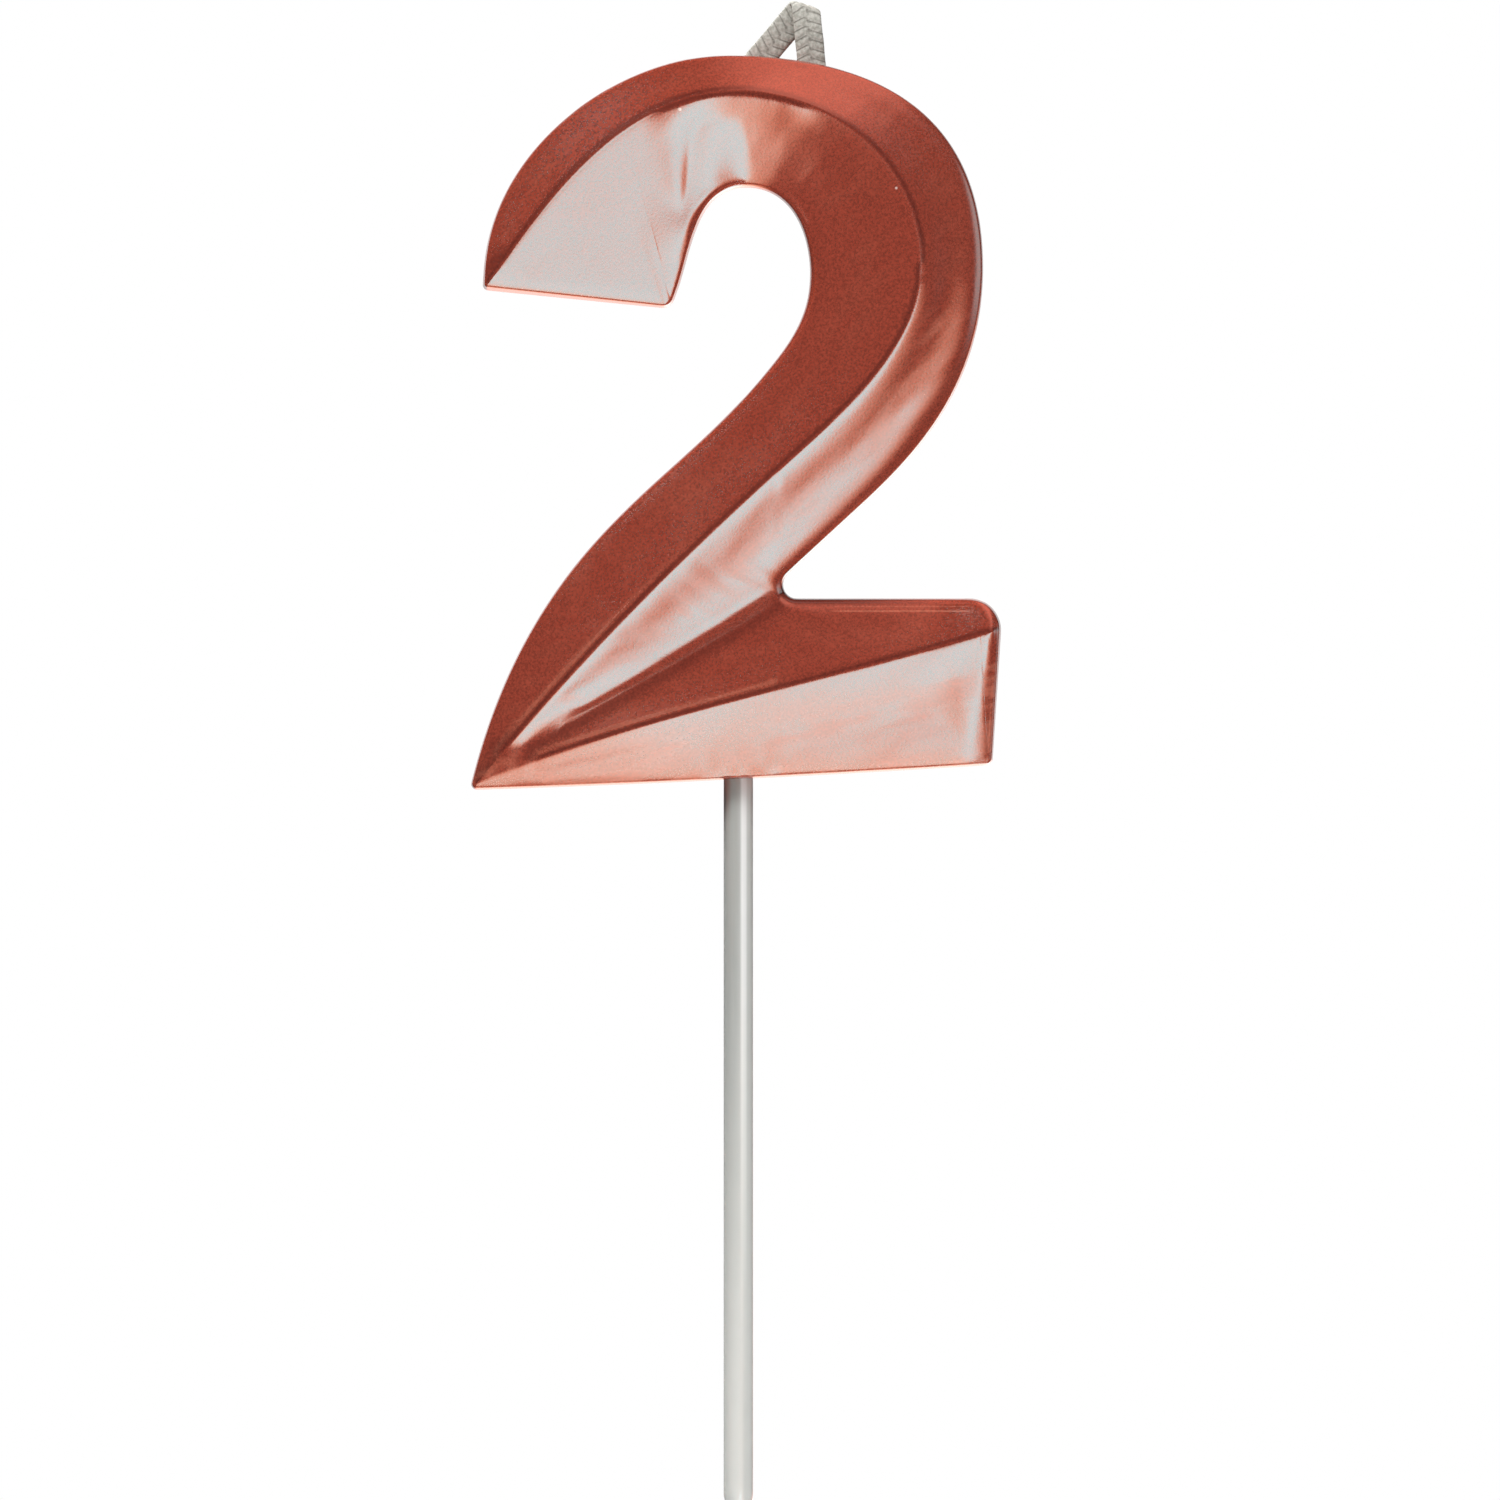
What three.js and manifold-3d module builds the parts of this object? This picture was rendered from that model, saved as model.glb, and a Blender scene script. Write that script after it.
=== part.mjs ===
// A cake candle in the shape of the numeral 2: a faceted wax figure, its wick, and the pick that holds it up.
// Millimetres and degrees. x runs right, z up and y back, so the front faces negative y. The origin is on
// the pick's axis where the pick enters the cake. The figure is drawn in its own front view: x from the
// pick's axis, z from the lowest point of the foot, and every heading counts from the x axis towards z.
import * as THREE from "three";
import { mergeVertices } from "three/addons/utils/BufferGeometryUtils.js";
import Module from "manifold-3d";

// Arch: the round top stroke. The bevels are the widths of the facet outside the ridge.
const archTop = 75;
const archPeakX = -1.15;
const archLeft = -26.1;
const archRight = 25.05;
const archRightZ = 53.4;
const topStroke = 13.56;
const sideStroke = 17.77;
const topBevel = 3.8;
const sideBevel = 6.45;

// Terminal: the cut end of the arch on the left.
const terminalZ = 51;
const terminalDrop = 5.7;
const heelX = -6.95;
const heelRound = 1.2;
const lipX = -4.67;
const lipZ = 56.12;
const lipHeading = -108.6;
const heelHeading = -114.2;

// Bowl: the open hollow under the arch.
const bowlSideZ = 52.5;
const bowlTopX = 0.75;

// Diagonal stroke, from the shoulder down to the tip of the foot.
const shoulderX = 13.35;
const shoulderZ = 29.6;
const diagonalHeading = -137.4;
const diagonalWidth = 16.6;
const diagonalBevel = 8.44;
const shinX = -14.62;
const shinZ = 25.36;

// Bar: the foot of the numeral. Its ends lean in and its underside rises to the right.
const barTop = 19.59;
const barRight = 27.06;
const barLean = 3.8;
const barRound = 3.27;
const crotchRound = 1.37;
const underRight = 2.55;
const underSlopeRight = 3.6;
const underSlopeLeft = 1.8;
const underRoundRight = 0.75;
const footTipX = -27.45;
const footTipZ = -0.02;
const footHeading = 76.2;
const tipRound = 0.62;

// Relief, measured from the mid-plane that the front and back halves share. The terminal and the bar's
// end are cut square, so the edge climbs there to the end of the ridge. It climbs a little at the lip of
// the bowl too, and in the crotch it dips to the valley, because the facets beside them are flat.
const edgeHeight = 3.3;
const ridgeHeight = 6;
const cutHeight = 5.4;
const lipHeight = 3.88;
const crotchHeight = 2.72;
const cutRunArch = 10;
const cutRunBar = 2;
const draft = 2.5;
const crispEdge = 0.38;
const softEdge = 0.75;
const barEdge = 1.05;
const bowlEdge = 1.4;
const edgeDrop = 0.85;
const edgeSlope = 0.3;
const crestRound = 0.3;
const terminalRun = 20;
const footRun = 20;
const barRun = 24;

// Valley between the diagonal and the bar.
const valleyEndX = -23.4;
const valleyEndZ = 3.4;
const valleySag = 0.55;

// Pick: a round pin that stands in the cake and holds the figure clear of it.
const pickRadius = 1.5;
const pickInCake = 60;
const pickStandOff = 20;
const pickInWax = 20;
const pickPoint = 7;
const pickPointRadius = 0.25;
const pickTopChamfer = 0.4;

// Wick: a flat braid that lies under the ridge, leaves at the top and is folded over backwards.
const wickWidth = 2.7;
const wickThickness = 0.8;
const wickExitX = 7.57;
const wickHeading = 95.6;
const wickLength = 5.75;
const creaseHeading = -17.3;
const wickJoinX = 17.2;
const wickEndShort = 13;

// Clearance between pieces that touch on the real candle.
const clearance = 0.3;

// Fineness of the surface: the longest step along an edge and the largest turn in one step.
const longestStep = 2.4;
const largestTurn = 15;

const rad = THREE.MathUtils.degToRad;
const deg = THREE.MathUtils.radToDeg;
const plan = (x, z) => new THREE.Vector2(x, z);
const mix = THREE.MathUtils.lerp;

// The point a given distance from p along a heading.
function step(p, heading, distance) {
  return plan(p.x + distance * Math.cos(rad(heading)), p.y + distance * Math.sin(rad(heading)));
}

// A smooth bend from p to q with given headings. The fullness is each handle's length over the chord.
function bend(p, leave, q, arrive, fullP, fullQ) {
  const chord = p.distanceTo(q);
  return new THREE.CubicBezierCurve(p, step(p, leave, fullP * chord), step(q, arrive, -fullQ * chord), q);
}

// A rounded corner, entered along one heading and left along another.
function corner(point, enter, leave, radius) {
  const turn = THREE.MathUtils.euclideanModulo(leave - enter + 180, 360) - 180;
  const side = Math.sign(turn) * 90;
  const cut = radius * Math.tan(rad(Math.abs(turn) / 2));
  const start = step(point, enter, -cut);
  const centre = step(start, enter + side, radius);
  const from = rad(enter - side);
  const arc = new THREE.EllipseCurve(centre.x, centre.y, radius, radius, from, from + rad(turn), turn < 0);
  return { start, arc, end: step(point, leave, cut) };
}

// Where a line from p along a heading reaches the height z.
function reachHeight(p, heading, z) {
  return plan(p.x + (z - p.y) / Math.tan(rad(heading)), z);
}

// Named points of the outline.
const heelZ = terminalZ - (heelX - archLeft) * Math.tan(rad(terminalDrop));
const shoulder = plan(shoulderX, shoulderZ);
const waist = step(shoulder, diagonalHeading - 90, diagonalWidth);
const archPeak = plan(archPeakX, archTop);
const archSide = plan(archRight, archRightZ);
const bowlSide = plan(archRight - sideStroke, bowlSideZ);
const bowlTop = plan(bowlTopX, archTop - topStroke);
const lip = plan(lipX, lipZ);
const shin = plan(shinX, shinZ);
const leanRight = barRight - (barTop - underRight) * Math.tan(rad(barLean));
const terminalTip = corner(plan(archLeft, terminalZ), 180 - terminalDrop, 90, tipRound);
const crotch = corner(reachHeight(shoulder, diagonalHeading, barTop), diagonalHeading, 0, crotchRound);
const barCorner = corner(plan(barRight, barTop), 0, -90 - barLean, barRound);
const underCorner = corner(
  plan(leanRight, underRight),
  -90 - barLean,
  -180 + underSlopeRight,
  underRoundRight,
);
const footTip = corner(plan(footTipX, footTipZ), -180 + underSlopeLeft, footHeading, tipRound);
const underside = bend(
  underCorner.end,
  -180 + underSlopeRight,
  footTip.start,
  -180 + underSlopeLeft,
  0.333,
  0.333,
);
const heel = corner(plan(heelX, heelZ), heelHeading, 180 - terminalDrop, heelRound);

// The outline, clockwise from the terminal's tip. Each piece has its curve and the width of the rounded
// edge at the piece's far end.
const outlinePieces = {
  terminalTip: [terminalTip.arc, crispEdge],
  archLeft: [bend(terminalTip.end, 90, archPeak, 0, 0.4, 0.326), softEdge],
  archRight: [bend(archPeak, 0, archSide, -90, 0.465, 0.456), softEdge],
  archUnder: [bend(archSide, -90, shoulder, diagonalHeading, 0.373, 0.381), softEdge],
  diagonal: [new THREE.LineCurve(shoulder, crotch.start), softEdge],
  crotch: [crotch.arc, barEdge],
  barTop: [new THREE.LineCurve(crotch.end, barCorner.start), barEdge],
  barCorner: [barCorner.arc, crispEdge],
  barEnd: [new THREE.LineCurve(barCorner.end, underCorner.start), crispEdge],
  underCorner: [underCorner.arc, crispEdge],
  underside: [underside, crispEdge],
  footTip: [footTip.arc, crispEdge],
  foot: [bend(footTip.end, footHeading, shin, 48, 0.351, 0.338), crispEdge],
  shin: [bend(shin, 48, waist, 49.9, 0.368, 0.361), softEdge],
  waist: [bend(waist, 49.9, bowlSide, 90, 0.385, 0.367), bowlEdge],
  bowlSide: [bend(bowlSide, 90, bowlTop, 180, 0.377, 0.43), softEdge],
  bowlTop: [bend(bowlTop, 180, lip, lipHeading, 0.446, 0.408), crispEdge],
  lip: [bend(lip, lipHeading, heel.start, heelHeading, 0.333, 0.333), crispEdge],
  heel: [heel.arc, crispEdge],
  terminalEnd: [new THREE.LineCurve(heel.end, terminalTip.start), crispEdge],
};

// A run of curves, read by its share of the whole length.
function track(curves) {
  const path = new THREE.CurvePath();
  curves.forEach((curve) => path.add(curve));
  const length = path.getLength();
  return {
    length,
    ends: path.getCurveLengths().map((reach) => reach / length),
    at: (share) => path.getPoint(THREE.MathUtils.clamp(share, 0, 1)),
    heading(share) {
      const small = 1e-4;
      const a = this.at(Math.max(0, share - small));
      const b = this.at(Math.min(1, share + small));
      return deg(Math.atan2(b.y - a.y, b.x - a.x));
    },
    // The total turn between two shares, in degrees.
    turn(from, to) {
      const checks = 24;
      let total = 0;
      let last = this.heading(from);
      for (let i = 1; i <= checks; i++) {
        const next = this.heading(mix(from, to, i / checks));
        total += Math.abs(THREE.MathUtils.euclideanModulo(next - last + 180, 360) - 180);
        last = next;
      }
      return total;
    },
    // The share of the point nearest to p, looked for between two shares.
    nearest(p, from = 0, to = 1) {
      let [low, high] = [from, to];
      for (let pass = 0; pass < 4; pass++) {
        const checks = 60;
        let best = low;
        for (let i = 0; i <= checks; i++) {
          const share = mix(low, high, i / checks);
          if (this.at(share).distanceTo(p) < this.at(best).distanceTo(p)) best = share;
        }
        const reach = (high - low) / checks;
        [low, high] = [Math.max(from, best - reach), Math.min(to, best + reach)];
      }
      return (low + high) / 2;
    },
  };
}

const outline = track(Object.values(outlinePieces).map(([curve]) => curve));
const pieceNames = Object.keys(outlinePieces);

// Share of the outline at the end and at the start of a named piece.
function endOf(name) {
  return outline.ends[pieceNames.indexOf(name)];
}
function startOf(name) {
  return outline.ends[pieceNames.indexOf(name) - 1];
}

// Width of the rounded edge at a share of the outline.
function edgeWidth(share) {
  const i = Math.max(0, outline.ends.findIndex((end) => share <= end + 1e-9));
  const start = i === 0 ? 0 : outline.ends[i - 1];
  const before = outlinePieces[pieceNames[Math.max(0, i - 1)]][1];
  const after = outlinePieces[pieceNames[i]][1];
  return mix(before, after, (share - start) / (outline.ends[i] - start));
}

// A map from one list of numbers to another, straight between its ties.
function tie(pairs) {
  const sorted = pairs.slice().sort((a, b) => a[0] - b[0]);
  return (share) => {
    let i = 1;
    while (i < sorted.length - 1 && share > sorted[i][0]) i++;
    const [[a, p], [b, q]] = [sorted[i - 1], sorted[i]];
    return mix(p, q, THREE.MathUtils.clamp((share - a) / (b - a), 0, 1));
  };
}

// The point of the crotch that the valley leaves.
const atCrotch = mix(startOf("crotch"), endOf("crotch"), 0.56);

// The edge dips in the crotch so that the facets on both sides stay flat up to it. Their distance from the
// edge of the stroke grows with the round of the crotch.
const crotchTies = [[atCrotch, crotchHeight]];
for (const end of [startOf("crotch"), endOf("crotch")]) {
  const turn = rad(Math.abs(outline.heading(atCrotch) - outline.heading(end)));
  for (const part of [0, 0.25, 0.5, 0.75]) {
    const dip = (1 - Math.cos(part * turn)) / (1 - Math.cos(turn));
    crotchTies.push([mix(end, atCrotch, part), mix(edgeHeight, crotchHeight, dip)]);
  }
}

// Height of the edge at a share of the outline.
const rimHeight = tie([
  [0, cutHeight],
  [endOf("terminalTip"), cutHeight],
  [endOf("terminalTip") + cutRunArch / outline.length, edgeHeight],
  ...crotchTies,
  [startOf("barCorner") - cutRunBar / outline.length, edgeHeight],
  [endOf("barCorner"), cutHeight],
  [endOf("barEnd"), edgeHeight],
  [endOf("bowlSide"), edgeHeight],
  [endOf("bowlTop"), lipHeight],
  [endOf("lip"), edgeHeight],
  [startOf("terminalEnd"), edgeHeight],
  [1, cutHeight],
]);

// The strip beside the outline at one share: the wall, then the rounded edge up to the facet's foot.
const roundSteps = 3;
function edgeStrip(share) {
  const rim = outline.at(share);
  const inward = outline.heading(share) - 90;
  const width = edgeWidth(share);
  const top = rimHeight(share);
  const inset = top * Math.tan(rad(draft));
  const low = top - edgeDrop * width;
  const high = top + edgeSlope * width;
  const points = [{ at: rim, height: 0 }];
  for (let i = 0; i <= roundSteps; i++) {
    const t = i / roundSteps;
    const across = inset + width * t * t;
    const height = low * (1 - t) ** 2 + 2 * top * t * (1 - t) + high * t * t;
    points.push({ at: step(rim, inward, across), height });
  }
  return points;
}

// Foot of the facet at a share of the outline, and the point where a ridge starts just inside it.
function facetFoot(share) {
  return edgeStrip(share).at(-1);
}
function ridgeTip(share) {
  return step(facetFoot(share).at, outline.heading(share) - 90, clearance);
}

// Shares of the outline where the facets part: the two tips and the corner where the bar's ridge starts.
const atTerminal = endOf("terminalTip") / 2;
const atFoot = (startOf("footTip") + endOf("footTip")) / 2;
const atBarCorner = endOf("barCorner");

// Ridges. The long one follows the arch and the diagonal, the short one the bar.
const ridgePeak = plan(archPeakX + 1.1, archTop - topBevel);
const ridgeSide = plan(archRight - sideBevel, archRightZ);
const ridgeShoulder = step(shoulder, diagonalHeading - 90, diagonalBevel);
const terminalRidge = ridgeTip(atTerminal);
const footRidge = ridgeTip(atFoot);
const barRidge = ridgeTip(atBarCorner);
const longRidge = track([
  bend(terminalRidge, 56, ridgePeak, 0, 0.354, 0.359),
  bend(ridgePeak, 0, ridgeSide, -90, 0.349, 0.428),
  bend(ridgeSide, -90, ridgeShoulder, -138, 0.336, 0.33),
  bend(ridgeShoulder, -138, footRidge, -129.3, 0.355, 0.357),
]);
const shortRidge = track([bend(barRidge, -163.5, footRidge, -158.5, 0.35, 0.35)]);

// Height of a ridge: it starts from a cut end, ends at the edge of the foot and is level between.
function crestHeight(ridge, share, startRun) {
  const swell = (reach, run) => Math.sin((Math.min(1, reach / run) * Math.PI) / 2);
  const aboveEdge = edgeSlope * (crispEdge + clearance);
  const fromCut = mix(cutHeight + aboveEdge, ridgeHeight, swell(share * ridge.length, startRun));
  return mix(edgeHeight + aboveEdge, fromCut, swell((1 - share) * ridge.length, footRun));
}
function longCrest(share) {
  return { at: longRidge.at(share), height: crestHeight(longRidge, share, terminalRun) };
}
function shortCrest(share) {
  return { at: shortRidge.at(share), height: crestHeight(shortRidge, share, barRun) };
}

// Shares between two ends of a ridge, close enough for every track beside it.
function stations(knots, beside) {
  const sorted = [...new Set(knots)].sort((a, b) => a - b);
  const shares = [sorted[0]];
  for (let i = 1; i < sorted.length; i++) {
    const [from, to] = [sorted[i - 1], sorted[i]];
    let count = 1;
    for (const { rail, map, low, high } of beside) {
      if (to <= low || from >= high) continue;
      const [a, b] = [map(from), map(to)];
      const parts = Math.max((Math.abs(b - a) * rail.length) / longestStep, rail.turn(a, b) / largestTurn);
      count = Math.max(count, Math.ceil(parts));
    }
    for (let k = 1; k <= count; k++) shares.push(mix(from, to, k / count));
  }
  return shares;
}

// Where the long ridge passes the ends of the outline's pieces, on its outer and its inner side.
const crotchSpread = 4 / longRidge.length;
const crotchAtRidge = longRidge.nearest(outline.at(atCrotch), 0.5, 0.9) + crotchSpread;
const diagonalAtRidge = longRidge.nearest(crotch.start, 0.5, crotchAtRidge) - crotchSpread;
const valleyAtRidge = longRidge.nearest(plan(valleyEndX, valleyEndZ), 0.8, 1);
const bowlTopAtRidge = longRidge.nearest(bowlTop, 0.1, 0.45);
const bowlSideAtRidge = longRidge.nearest(bowlSide, 0.35, 0.7);
const waistAtRidge = longRidge.nearest(waist, 0.5, 0.8);
const shinAtRidge = longRidge.nearest(shin, 0.6, 0.95);
const tipShare = 0.5 / longRidge.length;
const outerPairs = [
  [0, atTerminal],
  [tipShare, endOf("terminalTip")],
  [crotchAtRidge, atCrotch],
  [diagonalAtRidge, startOf("crotch")],
];
for (const share of [0.08, 0.16, longRidge.ends[0], longRidge.ends[1], longRidge.ends[2]]) {
  outerPairs.push([share, outline.nearest(longRidge.at(share), endOf("terminalTip"), startOf("crotch"))]);
}
const outerMap = tie(outerPairs);
const innerPairs = [
  [0, 1 + atTerminal],
  [tipShare, 1],
  [bowlTopAtRidge * 0.52, endOf("heel")],
  [bowlTopAtRidge * 0.6, startOf("heel")],
  [bowlTopAtRidge * 0.78, startOf("lip")],
  [bowlTopAtRidge, endOf("bowlSide")],
  [bowlSideAtRidge, endOf("waist")],
  [waistAtRidge, endOf("shin")],
  [shinAtRidge, endOf("foot")],
  [1 - tipShare, endOf("footTip")],
  [1, atFoot],
];
const innerMap = tie(innerPairs);

// The outline is a closed loop, so a share past 1 starts again.
const loop = (share) => (share > 1 ? share - 1 : share);
const loopRail = {
  length: outline.length,
  turn(a, b) {
    const laps = Math.min(a, b) > 1 - 1e-6 ? 1 : 0;
    return outline.turn(a - laps, b - laps);
  },
};
const knots = [...outerPairs, ...innerPairs, [valleyAtRidge]].map(([share]) => share);
const longStations = stations(knots, [
  { rail: outline, map: outerMap, low: 0, high: crotchAtRidge },
  { rail: loopRail, map: innerMap, low: 0, high: 1 },
  { rail: longRidge, map: (share) => share, low: 0, high: 1 },
]);

// The valley, from the facet's foot in the crotch to the long ridge. The facet beside the diagonal runs on
// past the crotch at one slope, and the valley lies on it.
const lowerCrest = (crest) => ({ at: crest.at, height: crest.height - 0.12 * crestRound });
const valleyStart = facetFoot(atCrotch);
const valleyEnd = lowerCrest(longCrest(valleyAtRidge));
const valleyMiddle = plan(
  (valleyStart.at.x + valleyEnd.at.x) / 2,
  (valleyStart.at.y + valleyEnd.at.y) / 2 - 2 * valleySag,
);
const valleyLine = new THREE.QuadraticBezierCurve(valleyStart.at, valleyMiddle, valleyEnd.at);

// Share of the short ridge at a given x.
function shortShareAtX(x) {
  let [low, high] = [0, 1];
  for (let pass = 0; pass < 40; pass++) {
    const middle = (low + high) / 2;
    if (shortRidge.at(middle).x > x) low = middle;
    else high = middle;
  }
  return (low + high) / 2;
}

// Fall from the long ridge to a point of the front view, and the distance between them.
function belowRidge(point) {
  const crest = longCrest(longRidge.nearest(point.at, 0.5, 1));
  return { crest, distance: crest.at.distanceTo(point.at) };
}
const atCrotchFoot = belowRidge(valleyStart);
const valleySlope = (atCrotchFoot.crest.height - valleyStart.height) / atCrotchFoot.distance;
function valleyPoint(share) {
  if (share === 0) return valleyStart;
  if (share === 1) return valleyEnd;
  const at = valleyLine.getPoint(share);
  const { crest, distance } = belowRidge({ at });
  return { at, height: lowerCrest(crest).height - valleySlope * distance };
}

// A facet from its foot to a crest point, with the crest's own small round.
function facetStrip(foot, crest) {
  const span = foot.at.distanceTo(crest.at);
  if (span < 1e-6) return [foot, foot, foot];
  const share = Math.min(0.4, crestRound / span);
  const shoulderPoint = {
    at: crest.at.clone().lerp(foot.at, share),
    height: mix(crest.height, foot.height, share),
  };
  return [foot, shoulderPoint, lowerCrest(crest)];
}

// Rows of points across the front half, one row for each station, in five runs.
const outerRows = [];
const innerRows = [];
const valleyRows = [];
const barRows = [];
const underRows = [];
const rowFromEdge = (share, crest) => [
  ...edgeStrip(share).slice(0, -1),
  ...facetStrip(facetFoot(share), crest),
];
for (const share of longStations) {
  const crest = longCrest(share);
  innerRows.push(rowFromEdge(loop(innerMap(share)), crest));
  if (share <= crotchAtRidge) outerRows.push(rowFromEdge(outerMap(share), crest));
}

// The bar: its upper facet runs beside the corner, the bar's top, the valley and the long ridge's tail.
const barTopPairs = [
  [0, atBarCorner],
  [shortShareAtX(barCorner.start.x), startOf("barCorner")],
  [shortShareAtX(crotch.end.x), endOf("crotch")],
  [shortShareAtX(valleyStart.at.x), atCrotch],
];
const barTopMap = tie(barTopPairs);
const underPairs = [
  [0, atBarCorner],
  [shortShareAtX(leanRight - 1.2), endOf("barEnd")],
  [shortShareAtX(underCorner.end.x - 1), startOf("underside")],
  [1 - 0.4 / shortRidge.length, endOf("underside")],
  [1, atFoot],
];
const underMap = tie(underPairs);
const barTopKnots = [...barTopPairs, ...underPairs.slice(1, 3)].map(([share]) => share);
const barTopStations = stations(barTopKnots, [
  { rail: outline, map: barTopMap, low: 0, high: 1 },
  { rail: outline, map: underMap, low: 0, high: 1 },
]);
const shortStations = [];
for (const share of barTopStations) {
  barRows.push(rowFromEdge(barTopMap(share), shortCrest(share)));
  shortStations.push(share);
}
const valleyStations = longStations.filter((s) => s >= crotchAtRidge && s <= valleyAtRidge);
valleyStations.forEach((share) => {
  const along = (share - crotchAtRidge) / (valleyAtRidge - crotchAtRidge);
  const foot = valleyPoint(along);
  valleyRows.push(facetStrip(foot, longCrest(share)));
  if (along === 0) return;
  const onShort = shortShareAtX(foot.at.x);
  shortStations.push(onShort);
  barRows.push(facetStrip(foot, shortCrest(onShort)));
});
const tailStart = shortStations.at(-1);
longStations.filter((s) => s > valleyAtRidge).forEach((share) => {
  const along = (share - valleyAtRidge) / (1 - valleyAtRidge);
  const onShort = mix(tailStart, 1, along);
  shortStations.push(onShort);
  barRows.push(facetStrip(lowerCrest(longCrest(share)), shortCrest(onShort)));
});
for (const share of shortStations) underRows.push(rowFromEdge(underMap(share), shortCrest(share)));

// Triangles between neighbouring rows. Rows may lose their outer points where a valley takes over.
const corners = [];
function place(point, side) {
  return [point.at.x, -side * point.height, point.at.y];
}
function weave(rows, side, clockwise) {
  for (let i = 1; i < rows.length; i++) {
    const columns = Math.min(rows[i - 1].length, rows[i].length);
    const a = rows[i - 1].slice(-columns);
    const b = rows[i].slice(-columns);
    for (let k = 1; k < columns; k++) {
      const quad = [a[k - 1], a[k], b[k], b[k - 1]].map((point) => place(point, side));
      if (clockwise === side > 0) quad.reverse();
      corners.push(quad[0], quad[1], quad[2], quad[0], quad[2], quad[3]);
    }
  }
}
for (const side of [1, -1]) {
  weave(outerRows, side, false);
  weave(valleyRows, side, false);
  weave(innerRows, side, true);
  weave(barRows, side, true);
  weave(underRows, side, false);
}

// One merged surface, without the triangles that closed up at the tips.
function closed(positions) {
  const loose = new THREE.BufferGeometry();
  loose.setAttribute("position", new THREE.Float32BufferAttribute(positions.flat(), 3));
  const merged = mergeVertices(loose, 1e-4);
  const index = merged.index.array;
  const kept = [];
  for (let i = 0; i < index.length; i += 3) {
    const [a, b, c] = index.slice(i, i + 3);
    if (a !== b && b !== c && c !== a) kept.push(a, b, c);
  }
  merged.setIndex(kept);
  return merged;
}
const figure = closed(corners);

// Joins rings of points into a closed body with a cap at each end.
function loft(rings) {
  const positions = [];
  const count = rings[0].length;
  for (let i = 1; i < rings.length; i++) {
    for (let k = 0; k < count; k++) {
      const [a, b] = [rings[i - 1][k], rings[i - 1][(k + 1) % count]];
      const [c, d] = [rings[i][(k + 1) % count], rings[i][k]];
      positions.push(a, b, c, a, c, d);
    }
  }
  const last = rings.at(-1);
  for (let k = 1; k < count - 1; k++) {
    positions.push(rings[0][0], rings[0][k + 1], rings[0][k]);
    positions.push(last[0], last[k], last[k + 1]);
  }
  return closed(positions);
}

// One ring of the flat braid: round edges, lying in the numeral's plane, with its edge along a heading.
const ringSides = 12;
function braidRing(centre, depth, edgeHeading, halfWidth, halfThickness) {
  const ring = [];
  for (let k = 0; k < ringSides; k++) {
    const turn = (k / ringSides) * 2 * Math.PI;
    const out = Math.sign(Math.cos(turn)) * Math.abs(Math.cos(turn)) ** 0.5;
    const up = Math.sign(Math.sin(turn)) * Math.abs(Math.sin(turn)) ** 0.7;
    const p = step(centre, edgeHeading, out * halfWidth);
    ring.push([p.x, depth - up * halfThickness, p.y]);
  }
  return ring;
}

// Half the width of a ribbon along a slanted cut.
function slantHalf(ribbonHeading, cutHeading, width) {
  return width / 2 / Math.abs(Math.sin(rad(cutHeading - ribbonHeading)));
}

// The wick's route. It leaves the wax at the top of the arch and ends short of the foot's tip.
const exitShare = outline.nearest(plan(wickExitX, archTop), endOf("archLeft"), endOf("archRight"));
const wickExit = outline.at(exitShare);
const crease = step(wickExit, wickHeading, wickLength);
const wickJoin = longRidge.nearest(plan(wickJoinX, archRightZ), longRidge.ends[0], longRidge.ends[1]);
const joinShare = wickJoin - 6 / longRidge.length;
const wickEnd = 1 - wickEndShort / longRidge.length;
const hiddenWick = track([
  bend(wickExit, wickHeading - 180, longRidge.at(joinShare), longRidge.heading(joinShare), 0.38, 0.32),
]);

// Rings down the hidden stretch, for the braid itself or for the channel that it leaves in the wax.
function hiddenRings(spare, endSpare) {
  const rings = [];
  const bendSteps = 9;
  for (let i = 0; i <= bendSteps; i++) {
    const share = i / bendSteps;
    rings.push([hiddenWick.at(share), hiddenWick.heading(share)]);
  }
  const end = wickEnd + endSpare / longRidge.length;
  const runSteps = Math.ceil(((end - joinShare) * longRidge.length) / longestStep);
  for (let i = 1; i <= runSteps; i++) {
    const share = mix(joinShare, end, i / runSteps);
    rings.push([longRidge.at(share), longRidge.heading(share)]);
  }
  return rings.map(([centre, heading]) =>
    braidRing(centre, 0, heading + 90, wickWidth / 2 + spare, wickThickness / 2 + spare),
  );
}
function creaseRing(centre, depth, ribbonHeading) {
  const half = slantHalf(ribbonHeading, creaseHeading, wickWidth);
  return braidRing(centre, depth, creaseHeading, half, wickThickness / 2);
}
const stemTop = step(crease, wickHeading, -clearance / 2);
const stemEdge = wickHeading - 90;
const stem = loft([
  creaseRing(stemTop, 0, wickHeading),
  braidRing(wickExit, 0, stemEdge, wickWidth / 2, wickThickness / 2),
  ...hiddenRings(0, 0).slice(1),
]);
const channelMouth = step(wickExit, wickHeading, 3);
const channel = loft([
  braidRing(channelMouth, 0, stemEdge, wickWidth / 2 + clearance, wickThickness / 2 + clearance),
  ...hiddenRings(clearance, clearance),
]);

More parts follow.
